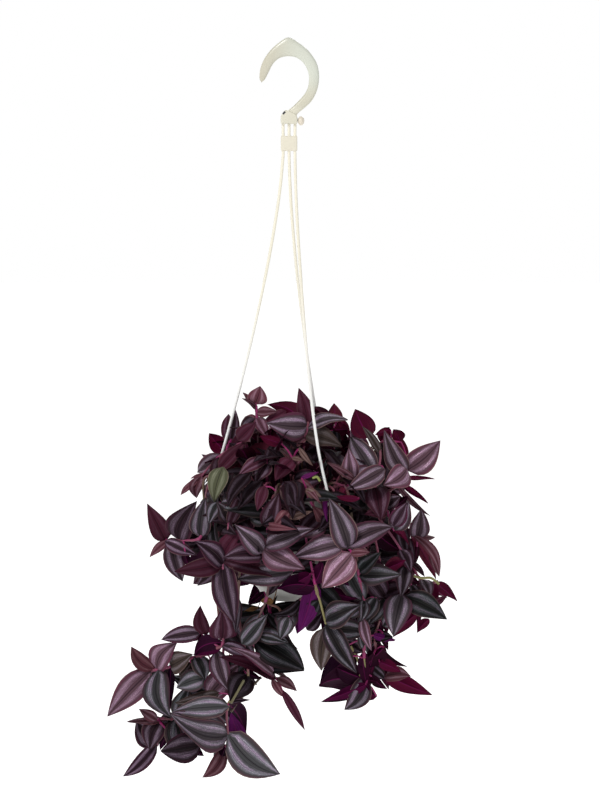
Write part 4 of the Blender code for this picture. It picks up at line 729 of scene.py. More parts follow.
# --------------------------------------------------------------- foliage
# Each shoot: name, root on the soil (x, y), the angle at which it crosses the
# rim or None, and its nodes in the front view (x, drop, y)
SHOOTS = [
    ("crown_left", (-16, 6), None,
     [(-30, 395, -8), (-31, 375, -12), (-32, 360, -12), (-33, 352, -12), (-35, 347, -12)]),
    ("crown_middle", (8, -14), None,
     [(13, 412, -26), (14, 395, -30), (17, 377, -28), (19, 367, -26)]),
    ("crown_mid_right", (28, -16), None,
     [(74, 428, -36), (88, 415, -42), (91, 395, -36), (80, 381, -30)]),
    ("crown_right", (44, 2), None, [(96, 436, -16), (112, 427, -20), (118, 413, -18)]),
    ("crown_back_right", (30, 18), None, [(76, 400, 8), (93, 386, 6), (112, 386, 4)]),
    ("crown_back_mid", (8, 14), None, [(34, 388, 2), (47, 368, 0)]),
    ("crown_left_back", (-30, 10), None, [(-60, 410, 10), (-62, 395, 10), (-58, 384, 10)]),
    ("crown_left_front", (-36, -8), None, [(-46, 387, -14), (-70, 401, -13), (-90, 423, -10)]),
    ("crown_front_left", (-18, -22), None, [(-22, 425, -48), (-22, 403, -46)]),
    ("crown_front", (2, -30), None, [(4, 425, -46), (4, 403, -50)]),
    ("crown_front_right", (20, -32), None, [(44, 440, -56), (61, 428, -60), (62, 420, -56)]),
    ("side_left", (-46, -14), -158, [(-89, 482, -48), (-111, 484, -30), (-124, 485, -22)]),
    ("front_left", (-40, -28), -141, [(-60, 470, -80), (-66, 500, -84), (-66, 511, -88)]),
    ("front_middle", (-20, -40), -108, [(-21, 474, -90), (-27, 501, -98)]),
    ("front_right", (16, -38), -76, [(38, 470, -84), (60, 494, -94)]),
    ("side_right", (42, -20), -25, [(86, 430, -48), (98, 455, -56), (105, 475, -55)]),
    ("side_right_far", (52, -8), -11, [(112, 466, -34), (128, 484, -30)]),
    ("low_right_side", (46, -26), -36, [(112, 494, -52), (117, 511, -54), (113, 542, -56)]),
    ("low_right_far", (56, 2), 4, [(124, 512, -14), (136, 527, -18), (148, 526, -16)]),
    ("low_middle", (4, -44), -88, [(14, 470, -84), (27, 532, -88), (31, 545, -87), (38, 572, -84)]),
    ("low_right", (32, -28), -47,
     [(70, 520, -74), (75, 545, -68), (75, 596, -60), (76, 612, -58), (79, 628, -56)]),
    ("low_right_hanging", (38, -12), -31, [(96, 542, -50), (86, 584, -52), (96, 622, -50)]),
    ("trail_left_middle", (-28, -34), -130, [(-66, 545, -66), (-67, 590, -58), (-86, 576, -54)]),
    ("trail_left_outer", (-44, -24), -150,
     [(-68, 560, -44), (-72, 594, -42), (-95, 601, -40), (-120, 611, -38), (-139, 615, -34)]),
    ("trail_left_front", (-12, -42), -99, [(-22, 540, -76), (-36, 584, -66), (-12, 624, -62)]),
    ("pot_front", (10, -34), -93.5,
     [(20, 530, -72), (12, 543, -66), (-5, 556, -60), (-24, 560, -58)]),
    ("trail_left_low", (-34, -18), -121,
     [(-50, 560, -56), (-41, 620, -48), (-61, 648, -48), (-61, 684, -50), (-65, 694, -50)]),
    ("trail_left_back", (-52, -6), -169,
     [(-70, 560, -18), (-66, 600, -20), (-80, 640, -20), (-112, 662, -22), (-130, 664, -22),
      (-132, 688, -22)]),
]
# Places (x, drop) of tips in the front view whose leaves have a look set
LOOKS = {
    "g": [(-84, 500), (-72, 446), (-40, 460), (70.5, 548.5), (72, 566), (-0.5, 586), (-107, 706)],
    "s": [(-87, 446), (104, 581), (37, 532)],
    "m": [(53.5, 390), (-112, 587), (7, 507)],
    "v": [(102, 470), (-52.5, 471), (-116.5, 658), (25, 472), (4, 480), (141, 542)],
    "w": [(-44, 366), (-14, 424.5), (-47, 474.6)],
    "d": [(-50, 381), (64, 356), (-8, 382), (36, 424), (34, 392), (-69, 463), (-6, 522), (-92, 530),
         (-10.4, 437.6), (92, 464), (112, 440), (118, 500), (122, 516), (-97, 598), (-92, 701)],
    "n": [(-29, 330), (-46, 336), (-46, 342), (-45, 361), (1, 393), (4, 412), (141.5, 460),
         (-109, 439), (-99, 423), (-44, 372), (-14, 390), (30, 444), (38, 406), (-140, 501.5),
         (-57, 468), (5, 473), (81, 496.7), (24, 450), (147, 481), (150.5, 521.5), (84, 583),
         (122, 620), (-157.5, 590), (8, 635), (-87, 721.5), (-162, 664)],
    "o": [(-76, 445)],
}
LOOK_PLACES = np.array([place for key in LOOKS for place in LOOKS[key]])
LOOK_KEYS = [key for key in LOOKS for _ in LOOKS[key]]
NEAR_LOOK = 7.0                        # a tip this near such a place takes its look
YOUNG_LENGTH = 24.0                    # a shorter leaf may be young
GREEN_BELOW = 460.0                    # the drop under which a leaf may be green
MOST_LIGHT = 1.5
# Leaves that curve, widen or take painted light or shade in a way of their own: the tip's
# x and drop, how far the middle moves in x and drop, width, a factor on its painted light
# and shade, and for some a look
SHAPES = {
    "crown_left": [
        (-29, 330, 2, 0, 1.25, 1.35), (-11, 355, 0, 0, 1, 1.1, "n")],
    "crown_middle": [
        (9.6, 331.6, 2.5, 0, 1.2, 0.75, "w"), (-21, 349, 4, -9, 1.4, 1.2),
        (-22.6, 366.6, 0, 2, 1.05, 1.1, "v"), (58.5, 362, 0, 0, 1, 1.2, "v"),
        (53.4, 390, 0, 0, 1, 0.95, "b"), (23, 409.5, 0, 0, 0.8, 0.6, "d")],
    "crown_mid_right": [
        (66, 353, -1, -1, 1.08, 1), (61, 379.5, 0, 0, 1, 1, "v"), (74, 370, 0, 0, 1, 1, "b"),
        (56.5, 434, 0, 0, 1, 1.15, "v")],
    "crown_right": [
        (151.5, 384, 1, 3, 1, 0.9, "m"), (96, 374.5, -2, 2, 1.05, 0.9, "v"),
        (141.5, 460, -2, 3, 1.6, 1), (146.5, 422, 0, 1, 0.6, 1), (139.5, 447, 1, 2, 0.7, 1),
        (94, 475, 0, 0, 1, 0.6, "d")],
    "crown_left_back": [
        (-54, 352, 0, 0, 1, 1, "s"), (-44, 366, 0, 0, 0.9, 0.8), (-59.5, 357, -4, 0, 1.6, 1, "s"),
        (-80, 377, -2, 1, 1.3, 1.2), (-88, 398, 4, 4, 0.8, 0.8)],
    "crown_left_front": [
        (-93, 417, 0, 0, 1.1, 1, "v"), (-92, 442, -6, 0, 1.35, 1.1, "n"),
        (-109, 439, -2, 1, 1.3, 1), (-75, 440, 0, 0, 0.8, 0.7, "d"),
        (-73.5, 416.5, 4, 2, 0.9, 0.8, "s")],
    "side_left": [
        (-141.6, 447.8, 2, 1, 1, 0.55, "w"), (-92, 445.6, -8, 0, 1.3, 0.66),
        (-83.6, 442, -3, 0, 1.1, 0.9, "v"), (-106, 525.6, -4, 3, 1, 0.9)],
    "front_left": [
        (-55, 569.5, 2.5, 0, 0.95, 0.68), (-115, 515.5, 0, 0, 1, 0.9, "w")],
    "front_middle": [
        (16, 512.4, 0, 3, 1.1, 0.85, "m"), (25, 472, 0, 0, 1, 1, "v")],
    "front_right": [
        (40.6, 442.6, 0, 0, 1, 0.9, "v"), (105, 470, 0, 0, 1, 0.86, "v"),
        (3.5, 501, 0, 2, 1, 1.6, "v")],
    "side_right": [
        (119.8, 445, 0, 0, 1.1, 0.95, "v"), (76, 458, 0, 0, 1, 1, "w")],
    "side_right_far": [
        (132, 453, 1, 0, 1.15, 0.85, "v"), (150.4, 521.5, 5, -1, 1.15, 1),
        (147, 523.5, 6, 2, 0.8, 1)],
    "low_right_side": [
        (158.5, 563, 0, 1, 1.05, 0.72, "g"), (104, 580, 0, 0, 1.05, 1, "v"),
        (112, 541, 0, 0, 1, 0.55, "v")],
    "low_right_far": [
        (158, 541, -1, 3.5, 1.35, 1)],
    "low_middle": [
        (32.4, 615, -2, 0, 1.1, 0.9, "b"), (68, 617, -2, 2, 0.85, 0.47, "t"),
        (10, 576.5, 2, 4, 0.85, 1.3, "x"), (-11, 533, 0, -4, 1, 0.6),
        (70.6, 548.4, 0, 0, 1, 0.85), (79.7, 576, 0, 0, 1, 0.7)],
    "low_right": [
        (29, 628.5, 0, -4, 1.35, 0.1), (32.5, 645.4, 2, 4, 0.8, 0.6),
        (55, 654, 4, 5, 1.3, 0.8, "v"), (112, 518, 0, 3, 1, 1.3, "g"),
        (91, 496, 0, 0, 1, 1.2, "g"), (81, 636, -2, 0, 0.75, 0.4)],
    "low_right_hanging": [
        (143, 638.5, -0.5, 2.5, 0.9, 1.3), (117, 609.5, -7.5, 5, 0.8, 0.3),
        (79, 569, 0, 0, 1, 0.7, "g"), (66.5, 508, 0, 0, 1, 0.7, "d"),
        (104, 581, 0, 0, 1, 0.6, "d")],
    "pot_front": [
        (-11.4, 539, -4, 5, 0.6, 0.3, "d"), (-17.4, 557.8, 3, 5, 0.7, 0.4, "d"),
        (49, 555, 0, 0, 0.9, 0.5, "d"), (-3, 579, 0, 0, 1.2, 1, "t"),
        (9.5, 593.7, -11, 1, 0.5, 0.5, "d"), (-49, 582, 0, 0, 1, 1.2, "t")],
    "trail_left_front": [
        (3.3, 493.7, 0, 0, 0.4, 0.5, "d"), (16, 612.6, 4.5, 3, 1.15, 0.32, "g"),
        (-70.4, 600, 0, 2, 1, 0.85, "w"), (-57, 591, 0, 0, 1, 0.9, "m")],
    "trail_left_middle": [
        (-67, 554, 0, 0, 1, 0.7, "s"), (-88.5, 549.6, -3.5, 0, 1.1, 0.8, "w"),
        (-95, 599.4, -4, -3, 1.2, 0.9)],
    "trail_left_outer": [
        (-182, 661, 0.5, -0.5, 1, 0.78, "m"), (-117, 662, -12, 4, 1, 0.75, "t"),
        (-157.5, 590, -5, 3, 1.15, 0.85), (-112, 587, -3, -3, 1.1, 0.84),
        (-97, 598, 0, 0, 1.1, 0.9, "b"), (-84, 625, 0, 0, 1, 0.8, "g")],
    "trail_left_low": [
        (-8, 718, -1.5, 7.5, 1.1, 0.98, "t"), (-117, 658, -4, 9, 1.15, 1.1, "v"),
        (-87, 721.6, 2, 3, 1.15, 0.8), (-59, 645, 0, 0, 1, 0.5, "d"), (-38, 644, -4, 0, 0.6, 0.6)],
    "trail_left_back": [
        (-107, 706, 0, 0, 1, 0.6), (-166.5, 720.8, 0, 3, 1, 0.9, "s"), (-162, 664, 0, 4, 1.5, 1),
        (-139, 694, -3, 0, 1, 0.7, "s")],
}
SAME_TIP = 1.6                         # a leaf whose tip is this near takes the row
# Sides and back: (angle, crosses the rim)
FILL_SHOOTS = [(22, True), (40, True), (80, True), (98, True), (118, True), (140, True),
               (162, True), (75, False), (130, False)]
STEM_TRIALS = 60
RIM_LIFT = 9                           # of a stem over the rim
# How far a trial moves a stem's root, its way over the rim and its first bend
ROOT_SHIFT, ANGLE_SHIFT, LIFT_SHIFT, BEND_SHIFT = 5, 1.5, 5, 7

# Points across a leaf's upper and lower side, as shares of its half width
UPPER = np.array([-1.0, -0.55, -0.12, 0.12, 0.55])
LOWER = np.array([1.0, 0.55, 0.0, -0.55])
# A solid leaf's last ring, for a small and a larger leaf: its share of the
# length, of the greatest width, and how the tip falls off after it
LAST_RINGS = ((0.4, 1.0, 0.112), (0.54, 0.907, 0.151))
POINTED = 0.88                         # a leaf's tip has its four edges this close
LAST_RIB = (0.3, 1.4)                  # thickness of the last ring at the midrib
WELD = 0.002                           # corners of a node this close are one


def leaf_width(u):
    """Share of a leaf's greatest width at share u of its length: a power of u
    for the round base, times a power of the rest for the long tip."""
    return u ** 0.6 * (1 - u) ** 1.05 / 0.339


def merged(node):
    """Distinct corners of a frame node in millimetres, and their neighbours."""
    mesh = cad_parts[node].data
    points = np.empty(len(mesh.vertices) * 3, np.float32)
    mesh.vertices.foreach_get("co", points)
    points = np.round(points.reshape(-1, 3) / (MM * WELD)).astype(np.int64)
    points, owner = np.unique(points, axis=0, return_inverse=True)
    edges = np.empty(len(mesh.edges) * 2, np.int32)
    mesh.edges.foreach_get("vertices", edges)
    edges = owner.reshape(-1)[edges].reshape(-1, 2)
    edges = np.unique(np.vstack([edges, edges[:, ::-1]]), axis=0)
    edges = edges[edges[:, 0] != edges[:, 1]]
    starts = np.searchsorted(edges[:, 0], np.arange(len(points) + 1))
    return points * WELD, [edges[a:b, 1] for a, b in zip(starts, starts[1:])]


def leaves_of(node):
    """The leaves that a node's solid holds: each ends in a point whose four
    neighbours are its last ring, two edges and the midrib's two sides."""
    points, around = merged(node)
    found = []
    for tip, near in enumerate(around):
        if len(near) != 4:
            continue
        ring = points[near]
        if np.linalg.norm(unit(ring - points[tip]).mean(0)) < POINTED:
            continue
        gaps = np.linalg.norm(ring[:, None] - ring[None], axis=-1)
        left, right = np.unravel_index(gaps.argmax(), gaps.shape)
        above, below = [k for k in range(4) if k not in (left, right)]
        rib = (ring[above] + ring[below]) / 2
        up = ring[above] - ring[below]
        if not LAST_RIB[0] < np.linalg.norm(up) < LAST_RIB[1]:
            continue
        if up @ ((ring[left] + ring[right]) / 2 - rib) < 0:
            up = -up
        up = unit(up)
        side = unit(ring[right] - ring[left])
        along = np.cross(side, up)
        reach = points[tip] - rib
        if along @ reach < 0:
            side, along = -side, -along
        drop = -(reach @ up) / (reach @ along)
        station, share, _ = min(LAST_RINGS, key=lambda last: abs(drop - last[2]))
        arch = 4 * station * (1 - station) * BOW
        length = np.linalg.norm(reach) / math.hypot(1 - station, arch)
        along = unit(reach + up * arch * length)
        half = gaps.max() / 2 / math.cos(FOLD) / share
        found.append((points[tip] - along * length, along, unit(np.cross(up, along)), up,
                      length, half))
    return found


def stem_courses():
    """Each stem's course as the frame has it: the trial of its repeatable
    wobble whose root stands where the node's lowest ring does."""
    plans = [(name, stem_course, (*how, seed)) for seed, (name, *how) in enumerate(SHOOTS)]
    plans += [(("back_trail_%d" if how[1] else "back_crown_%d") % k, fill_course, (*how, 100 + k))
              for k, how in enumerate(FILL_SHOOTS)]
    return {name: nearest_root(name, [course(*how, trial) for trial in range(STEM_TRIALS)])
            for name, course, how in plans}


def nearest_root(name, trials):
    """The course whose root stands nearest to the node's foot."""
    points, _ = merged(name)
    foot = points[points[:, 2] < SOIL_TOP - STEM_SINK + 1.0].mean(0)
    return min(trials, key=lambda course: np.linalg.norm(course[0][:2] - foot[:2]))


def rim_crossing(a, lift):
    """A stem's way over the rim at angle a: before, above and past it."""
    out, _ = outward(a)
    return [out * far + RISE * (RIM_TOP + lift + high)
            for far, high in ((60, 0), (78, 2), (89, -9))]


def rooted(x, y):
    """First two points of a stem's course: in the soil and above it."""
    return [np.array([x, y, SOIL_TOP - STEM_SINK + 0.4]), np.array([x, y, SOIL_TOP + 3])]


def rounded(path, head):
    """Straight up from the soil, smooth to the first node, straight on."""
    curve = catmull(path[1:], 2)
    return np.vstack([path[:1], curve[:2 * head - 1], path[head + 1:]])


def stem_course(root, crossing, nodes, seed, trial):
    """From the root over the rim, or straight up, to the nodes seen from the
    front, moved a little by each trial after the first."""
    moved = float(trial > 0)
    x = root[0] + ROOT_SHIFT * wobble(seed, trial) * moved
    y = root[1] + ROOT_SHIFT * wobble(seed + 0.5, trial) * moved
    path = rooted(x, y)
    ends = [seen(place) for place in nodes]
    if crossing is not None:
        angle = crossing + ANGLE_SHIFT * wobble(seed + 0.3, trial) * moved
        lift = RIM_LIFT + LIFT_SHIFT * abs(wobble(seed + 0.7, trial)) * moved
        path += rim_crossing(math.radians(angle), lift)
    else:
        shift = np.array([wobble(seed + k, trial) for k in (0.1, 0.2, 0.4)]) * moved
        path.append((path[-1] + ends[0]) / 2 + [0, 0, 8] + BEND_SHIFT * shift)
    return rounded(np.array(path + ends), len(path))


def fill_course(angle, over, seed, trial):
    """At the sides and back: over the rim and down, or up and out."""
    a = math.radians(angle + 2 * wobble(seed, trial))
    out, _ = outward(a)
    root = out * (46 if over else 30) + 3 * np.array([wobble(seed, 3), wobble(seed, 4), 0])
    path = rooted(root[0], root[1])
    if over:
        path += rim_crossing(a, RIM_LIFT + 4 * abs(wobble(seed, trial + 9)))
        reach = 106 - 16 * abs(out[0])
        ends = ((reach - 5, -34), (reach, -70), (reach - 2 + 4 * wobble(seed, 5), -104))
    else:
        ends = ((34, 20), (42, 44), (54 + 5 * wobble(seed, 5), 62))
    path += [out * far + RISE * (RIM_TOP + high) for far, high in ends]
    return rounded(np.array(path), len(path) - 2)


BLADE_ROWS, FILL_ROWS = 11, 8          # rings of a leaf in the frame, of a filling one
LAST_SHARE = 0.995                     # share of the length at a blade's last ring
LEAST_HALF = (0.75, 0.12)              # a blade's least half width: more at its base, at its tip
SWAY = 0.045                           # of the midrib to a side, over its arch
TIP_DROP = (0.045, 0.03)               # over the length: plain, and how far it varies
SWELL, TWIST, EDGE_WAVE = 0.16, 0.16, 0.09                     # over the half width
RIB_WIDE, RIB_HIGH = 0.12, 0.5         # of the midrib below: share of the half width, height


def leaf_skin(leaf, tone, seed, rows=BLADE_ROWS, wave=1.0, moved=(0.0, 0.0)):
    """A leaf as rings along it. At share u of its length and s of its half
    width the point is: base + along u L, arched by 4 u (1 - u), plus side s h
    and a lift of |s| h sin(fold) with a low swell on each half, a wave along
    the edge, a slow twist and a tip that turns down. h is the half width at
    u. The middle is moved by (x, drop) in the same arch."""
    base, along, side, up, length, half = leaf
    u = np.linspace(0, 1, rows) ** 0.92
    u[-1] = LAST_SHARE
    h = np.maximum(half * leaf_width(u), LEAST_HALF[0] * (1 - u) + LEAST_HALF[1])[:, None]
    s = np.concatenate([UPPER, LOWER])[None, :]
    u = u[:, None]
    arch = 4 * u * (1 - u) * length
    bend = SWAY * wobble(seed, 1) * arch
    spine = (base + along * (u * length) + up * (BOW * arch) + side * bend)
    spine = spine - up * ((TIP_DROP[0] + TIP_DROP[1] * wobble(seed, 3)) * length
                          * np.clip((u - 0.6) / 0.4, 0, 1) ** 2)
    spine = spine + 4 * u * (1 - u) * (np.array([moved[0], 0.0, 0.0]) - moved[1] * TO_TOP)
    lift = (np.abs(s) * math.sin(FOLD) + SWELL * np.sin(math.pi * np.abs(s))) * h
    lift = lift + s * h * TWIST * wobble(seed, 4) * u
    ripple = np.sin(2 * math.pi * (1.5 * u + wobble(seed, 2)) + 1.3 * s)
    lift = lift + wave * EDGE_WAVE * half * ripple * np.abs(s) ** 2 * np.clip(6 * u, 0, 1)
    body = BLADE_THICK / 2 * (1 - np.abs(s) ** 4) * np.clip(1.2 - u, 0.3, 1)
    top = np.concatenate([np.ones(len(UPPER)), -np.ones(len(LOWER))])[None, :]
    rib = np.where(top < 0, np.exp(-(s / RIB_WIDE) ** 2) * RIB_HIGH * (1 - u), 0.0)
    lift = lift + top * (body + rib) * (np.abs(s) < 1)
    rings = (spine[:, None, :] + side * (s * h * math.cos(FOLD))[..., None]
             + up * lift[..., None])
    uv = np.stack(np.broadcast_arrays((s + 1) / 2, u), -1)
    paint = [UPPER_PAINT] * len(UPPER) + [UNDER_PAINT] * len(LOWER)
    skin = Skin(rings, uv=uv, tone=tone, paint=paint)
    # Both sides split their quads along the same diagonals
    quads = skin.quads.reshape(rows - 1, -1, 4)
    quads[:, len(UPPER):] = np.roll(quads[:, len(UPPER):], 1, axis=2)
    skin.quads = quads.reshape(-1, 4)
    return skin


# Sleeve at a leaf's foot: (way along the stem, radius over the stem's)
SHEATH = np.array([(0.0, 0.9), (0.3, 1.35), (1.4, 1.5), (3.6, 1.34), (5.6, 1.42), (6.4, 1.5),
                   (6.2, 1.2), (4.6, 0.85)])


def sheath_skin(at, way, radius, tone):
    """The sleeve at a leaf's foot: a tube round the stem that swells at its
    start, follows the stem and opens a little at its mouth."""
    far, wide = SHEATH.T
    return tube(at + way * far[:, None], radius * wide, 10, tone=tone, paint=STEM_PAINT)


def leaf_point(leaf, share):
    """The point at a share of the straight line from a leaf's base to its tip."""
    return leaf[0] + leaf[1] * leaf[4] * share


def tone_of(leaf, look, seed):
    """(green, young, light, olive; band, wine, edge, own number) of a leaf, by
    its place and its look. light is the leaf's painted light and shade, a little
    darker lower down, set by look and varied at random; the pale edge is partly
    a painted highlight. Looks: s plain, d dim, e and k in deep shade, g green, v
    and t green with strong bands, m and p rosy with strong bands, n young and
    pink, w wine, b brown, c copper, o and x olive, u a light underside."""
    low = np.clip((shown(leaf_point(leaf, 0.5))[1] - 400) / 160, 0, 1)
    vary = wobble(seed, 14)
    tone = {
        "green": 0.05 + 0.12 * low + 0.20 * wobble(seed, 11),
        "young": 0.10 * (1 - low) + 0.06 * wobble(seed, 13),
        "light": 0.60 - 0.04 * low + 0.20 * wobble(seed, 12),
        "olive": 0.0,
        "strong": 0.66 + 0.25 * low + 0.25 * wobble(seed, 16),
        "wine": np.clip(1.6 * wobble(seed, 17) - 0.75 - 0.3 * low, 0, 0.85),
        "pale": 0.5 + 0.5 * wobble(seed, 18) - 0.3 * low,
        "own": 0.5 + 0.5 * wobble(seed, 19)}
    shade = {"green": 0.9, "light": 0.05, "wine": 0.0}
    tone.update({
        "g": {"green": 0.88 + 0.12 * vary, "light": tone["light"] + 0.06, "wine": 0.0},
        "d": {"green": tone["green"] + 0.10, "light": tone["light"] - 0.24},
        "n": {"young": 0.78 + 0.2 * wobble(seed, 15), "light": tone["light"] + 0.08},
        "o": {"olive": 1.0, "light": 0.88},
        "w": {"wine": 0.85, "strong": 0.4},
        "m": {"green": 0.0, "young": 0.25, "light": 0.95, "strong": 1.0},
        "v": {"green": 0.42 + 0.15 * vary, "light": 0.78, "strong": 0.9, "wine": 0.0},
        "t": {"green": 0.72, "light": 0.85, "strong": 1.0, "wine": 0.0},
        "p": {"green": 0.1, "young": 0.35, "light": 1.25, "strong": 1.0, "wine": 0.0},
        "b": {"green": 0.6, "young": 0.3, "olive": 0.35, "wine": 0.0},
        "c": {"young": 0.75, "olive": 0.45, "light": 1.0, "wine": 0.0},
        "x": {"olive": 1.0, "light": 1.0},
        "u": {"light": 0.75, "wine": 0.15},
        "e": shade, "k": shade}.get(look, {}))
    return tuple(np.clip(list(tone.values()), 0, [1, 1, MOST_LIGHT, 1, 1, 1, 1, 1]))


def own_shape(name, leaf):
    """The leaf widened, its middle's move, the factor on its painted light and
    shade, and its look, where the leaf has a shape of its own."""
    tip = shown(leaf_point(leaf, 1.0))
    for x, drop, dx, dd, width, painted_light, *look in SHAPES.get(name, ()):
        if np.linalg.norm(tip - (x, drop)) < SAME_TIP:
            return (*leaf[:5], leaf[5] * width), (dx, dd), painted_light, look[0] if look else None
    return leaf, (0.0, 0.0), 1.0, None


def look_of(leaf, seed):
    """The look of the nearest LOOKS place, or one drawn by the leaf's number."""
    away = np.linalg.norm(LOOK_PLACES - shown(leaf_point(leaf, 1.0)), axis=1)
    if away.min() < NEAR_LOOK:
        return LOOK_KEYS[away.argmin()]
    draw = wobble(seed, 21)
    if leaf[4] < YOUNG_LENGTH and draw > 0.2:
        return "n"
    if draw < -0.55 and shown(leaf[0])[1] > GREEN_BELOW:
        return "g"
    return "d" if draw < -0.2 else "m" if draw > 0.75 else "s"


# Stems that turn pale green, with how green and over which drops, and dull ones
GREEN_STEMS = {"low_right": (0.8, 600, 650), "low_middle": (0.8, 528, 600),
               "trail_left_low": (0.75, 612, 655)}
DULL_STEMS = ("trail_left_front", "pot_front")
NODE_SWELL, NODE_REACH = 0.22, 1.8     # of a stem at a leaf: over its radius, along it
STREAK_RUN = 20.0                      # length of stem to one unit of its surface map


def build_shoot(name, course, leaves, number):
    """A stem with its leaves and their sheaths, its end drawn in to half its width."""
    fine = catmull(course, 5)
    share = np.linspace(0, 1, len(fine))
    radii = (STEM_RADIUS + (STEM_TIP_RADIUS - STEM_RADIUS) * share) * STEM_SLIM
    most, first, last = GREEN_STEMS.get(name, (0.0, 0.0, 0.0))
    drop = shown(fine)[:, 1]
    green = np.where((drop > first) & (drop < last), most, 0.15 + 0.15 * wobble(number, 31))
    skins, spots = [], set()
    for k, leaf in enumerate(leaves):
        seed = 7.0 * number + 0.61 * k
        leaf, moved, painted_light, look = own_shape(name, leaf)
        tone = np.array(tone_of(leaf, look or look_of(leaf, seed), seed))
        # Painted light or shade that the leaf has of its own
        tone[2] = min(MOST_LIGHT, tone[2] * painted_light)
        skins.append(leaf_skin(leaf, tone, seed, moved=moved))
        spots.add(np.linalg.norm(fine - leaf[0], axis=1).argmin())
    for k in sorted(spots):
        if k >= len(fine) - 2:
            continue
        way = unit(fine[k + 1] - fine[k])
        pink = (0.75 + 0.25 * wobble(number, k)) * (1.1 - green[k])
        skins.append(sheath_skin(fine[k], way, radii[k], stem_tone(green[k], pink, 0.6)))
        away = np.linalg.norm(fine - fine[k], axis=1) / NODE_REACH
        radii = radii * (1 + NODE_SWELL * np.exp(-away ** 2))
    radii[-1] *= 0.5
    tones = np.zeros((len(fine), 1, 8))
    tones[:, 0, 0] = green + 0.15 * np.sin(share * 9 + number)
    pink = 0.15 + 0.7 * share ** 2 + 0.3 * np.sin(share * 17 + number)
    tones[:, 0, 1] = np.clip(pink, 0, 1) * (1.05 - green) * (0.15 if name in DULL_STEMS else 1)
    tones = np.clip(tones, 0, 1)
    length = np.concatenate([[0], np.cumsum(np.linalg.norm(np.diff(fine, axis=0), axis=1))])
    a = np.linspace(0, 1, 9)[:8]
    uv = np.stack(np.broadcast_arrays(a[None, :], length[:, None] / STREAK_RUN), -1)
    skins.append(tube(fine, radii, 8, uv=uv, tone=tones, paint=STEM_PAINT))
    foliage("foliage_" + name, skins, [name])


# Filling leaves: outlines (x, drop) of the plant's lobes that they keep within,
# beside the outlines of the solids' own leaves
FRONT_OUTLINE = [
    [(-64, 389), (-57, 372), (-27, 376), (-14, 356), (9, 354), (46, 359), (61, 379),
     (91, 394), (111, 409), (119, 434), (115, 454), (123, 484), (116, 504), (109, 524),
     (96, 542), (61, 542), (29, 529), (-27, 527), (-49, 522), (-74, 520), (-91, 504),
     (-103, 489), (-93, 459), (-83, 444), (-81, 424), (-74, 404)],
    [(28, 526), (112, 526), (140, 540), (128, 548), (112, 552), (104, 578), (96, 592),
     (104, 612), (118, 626), (84, 622), (66, 640), (44, 634), (62, 616), (34, 608),
     (26, 580)],
    [(-62, 566), (-40, 538), (12, 540), (14, 600), (2, 616), (-20, 616), (-36, 640),
     (-52, 690), (-66, 690), (-96, 700), (-146, 692), (-140, 672), (-112, 640),
     (-122, 618), (-96, 622), (-76, 606)]]
SKIRT_STEMS = 34
MOUND_STEMS = 30
GOLDEN_ANGLE = 2.39996
COLLAR_LEAVES = 30
FILL_LENGTH, FILL_SLIM = 42, 0.25      # a filling leaf's length, its half width over it
SQUEEZES = (1.0, 0.35)                 # how far out a leaf reaches: first, and if that fails
LEAF_TRIALS = 16
MOUND_CENTRE = np.array([10.0, 4.0, RIM_TOP - 6.0])
MOUND_SIZE = np.array([74.0, 74.0, 62.0])
# Where no filling leaf may stand before a depth y, in the front view: on the
# front strand's way, where the pot shows, and in the gap beside it
WINDOWS = [((14, 380), (52, 442), -40), ((-46, 527), (12, 548), 0), ((-48, 530), (-34, 547), 110)]
BACK = 45                              # a leaf whose base is past this depth always fits


def leaf_outline(leaf):
    """Corners of the space that the camera sees a leaf fill: both edges at
    shares of its length, drawn in a little."""
    base, along, side, _, length, half = leaf
    u = np.array([0.02, 0.12, 0.3, 0.5, 0.7, 0.86, 0.97])[:, None]
    spine = base + along * (u * length)
    wide = side * (0.9 * half * leaf_width(u))
    return shown(np.vstack([spine - wide, (spine + wide)[::-1]]))


def in_outline(points, lobes):
    """Whether the camera shows each point inside one of the lobes: a line to
    the left of it crosses the lobe's edge an odd number of times."""
    x, drop = shown(points)[..., None, :].T
    inside = np.zeros(len(points), bool)
    for lobe in lobes:
        x0, d0 = np.array(lobe, float).T[:, :, None]
        x1, d1 = np.roll(np.array(lobe, float), -1, axis=0).T[:, :, None]
        run = np.where(d1 == d0, 1.0, d1 - d0)
        crossed = ((d0 > drop) != (d1 > drop)) & (x < x0 + (drop - d0) * (x1 - x0) / run)
        inside |= crossed.sum(0) % 2 == 1
    return bool(inside.all())


def aimed_leaf(base, way, face, length, half):
    """A leaf from its base along way, with its upper side to face."""
    along = unit(np.asarray(way, float))
    up = unit(face - along * (face @ along))
    return base, along, unit(np.cross(up, along)), up, length, half


def fits(leaf):
    """Whether a filling leaf stays inside the plant as the camera sees it, or
    lies at the plant's back, and keeps out of the windows."""
    base, along, side, _, length, half = leaf
    reach = base + along * (length * np.array([0.15, 0.35, 0.55, 0.75, 1.0]))[:, None]
    edges = reach[1] + side * (np.array([-0.8, 0.8]) * half)[:, None]
    place = shown(reach)
    for low, high, before in WINDOWS:
        if base[1] < before and ((place > low) & (place < high)).all(1).any():
            return False
    return base[1] > BACK or in_outline(np.vstack([reach, edges]), LOBES)


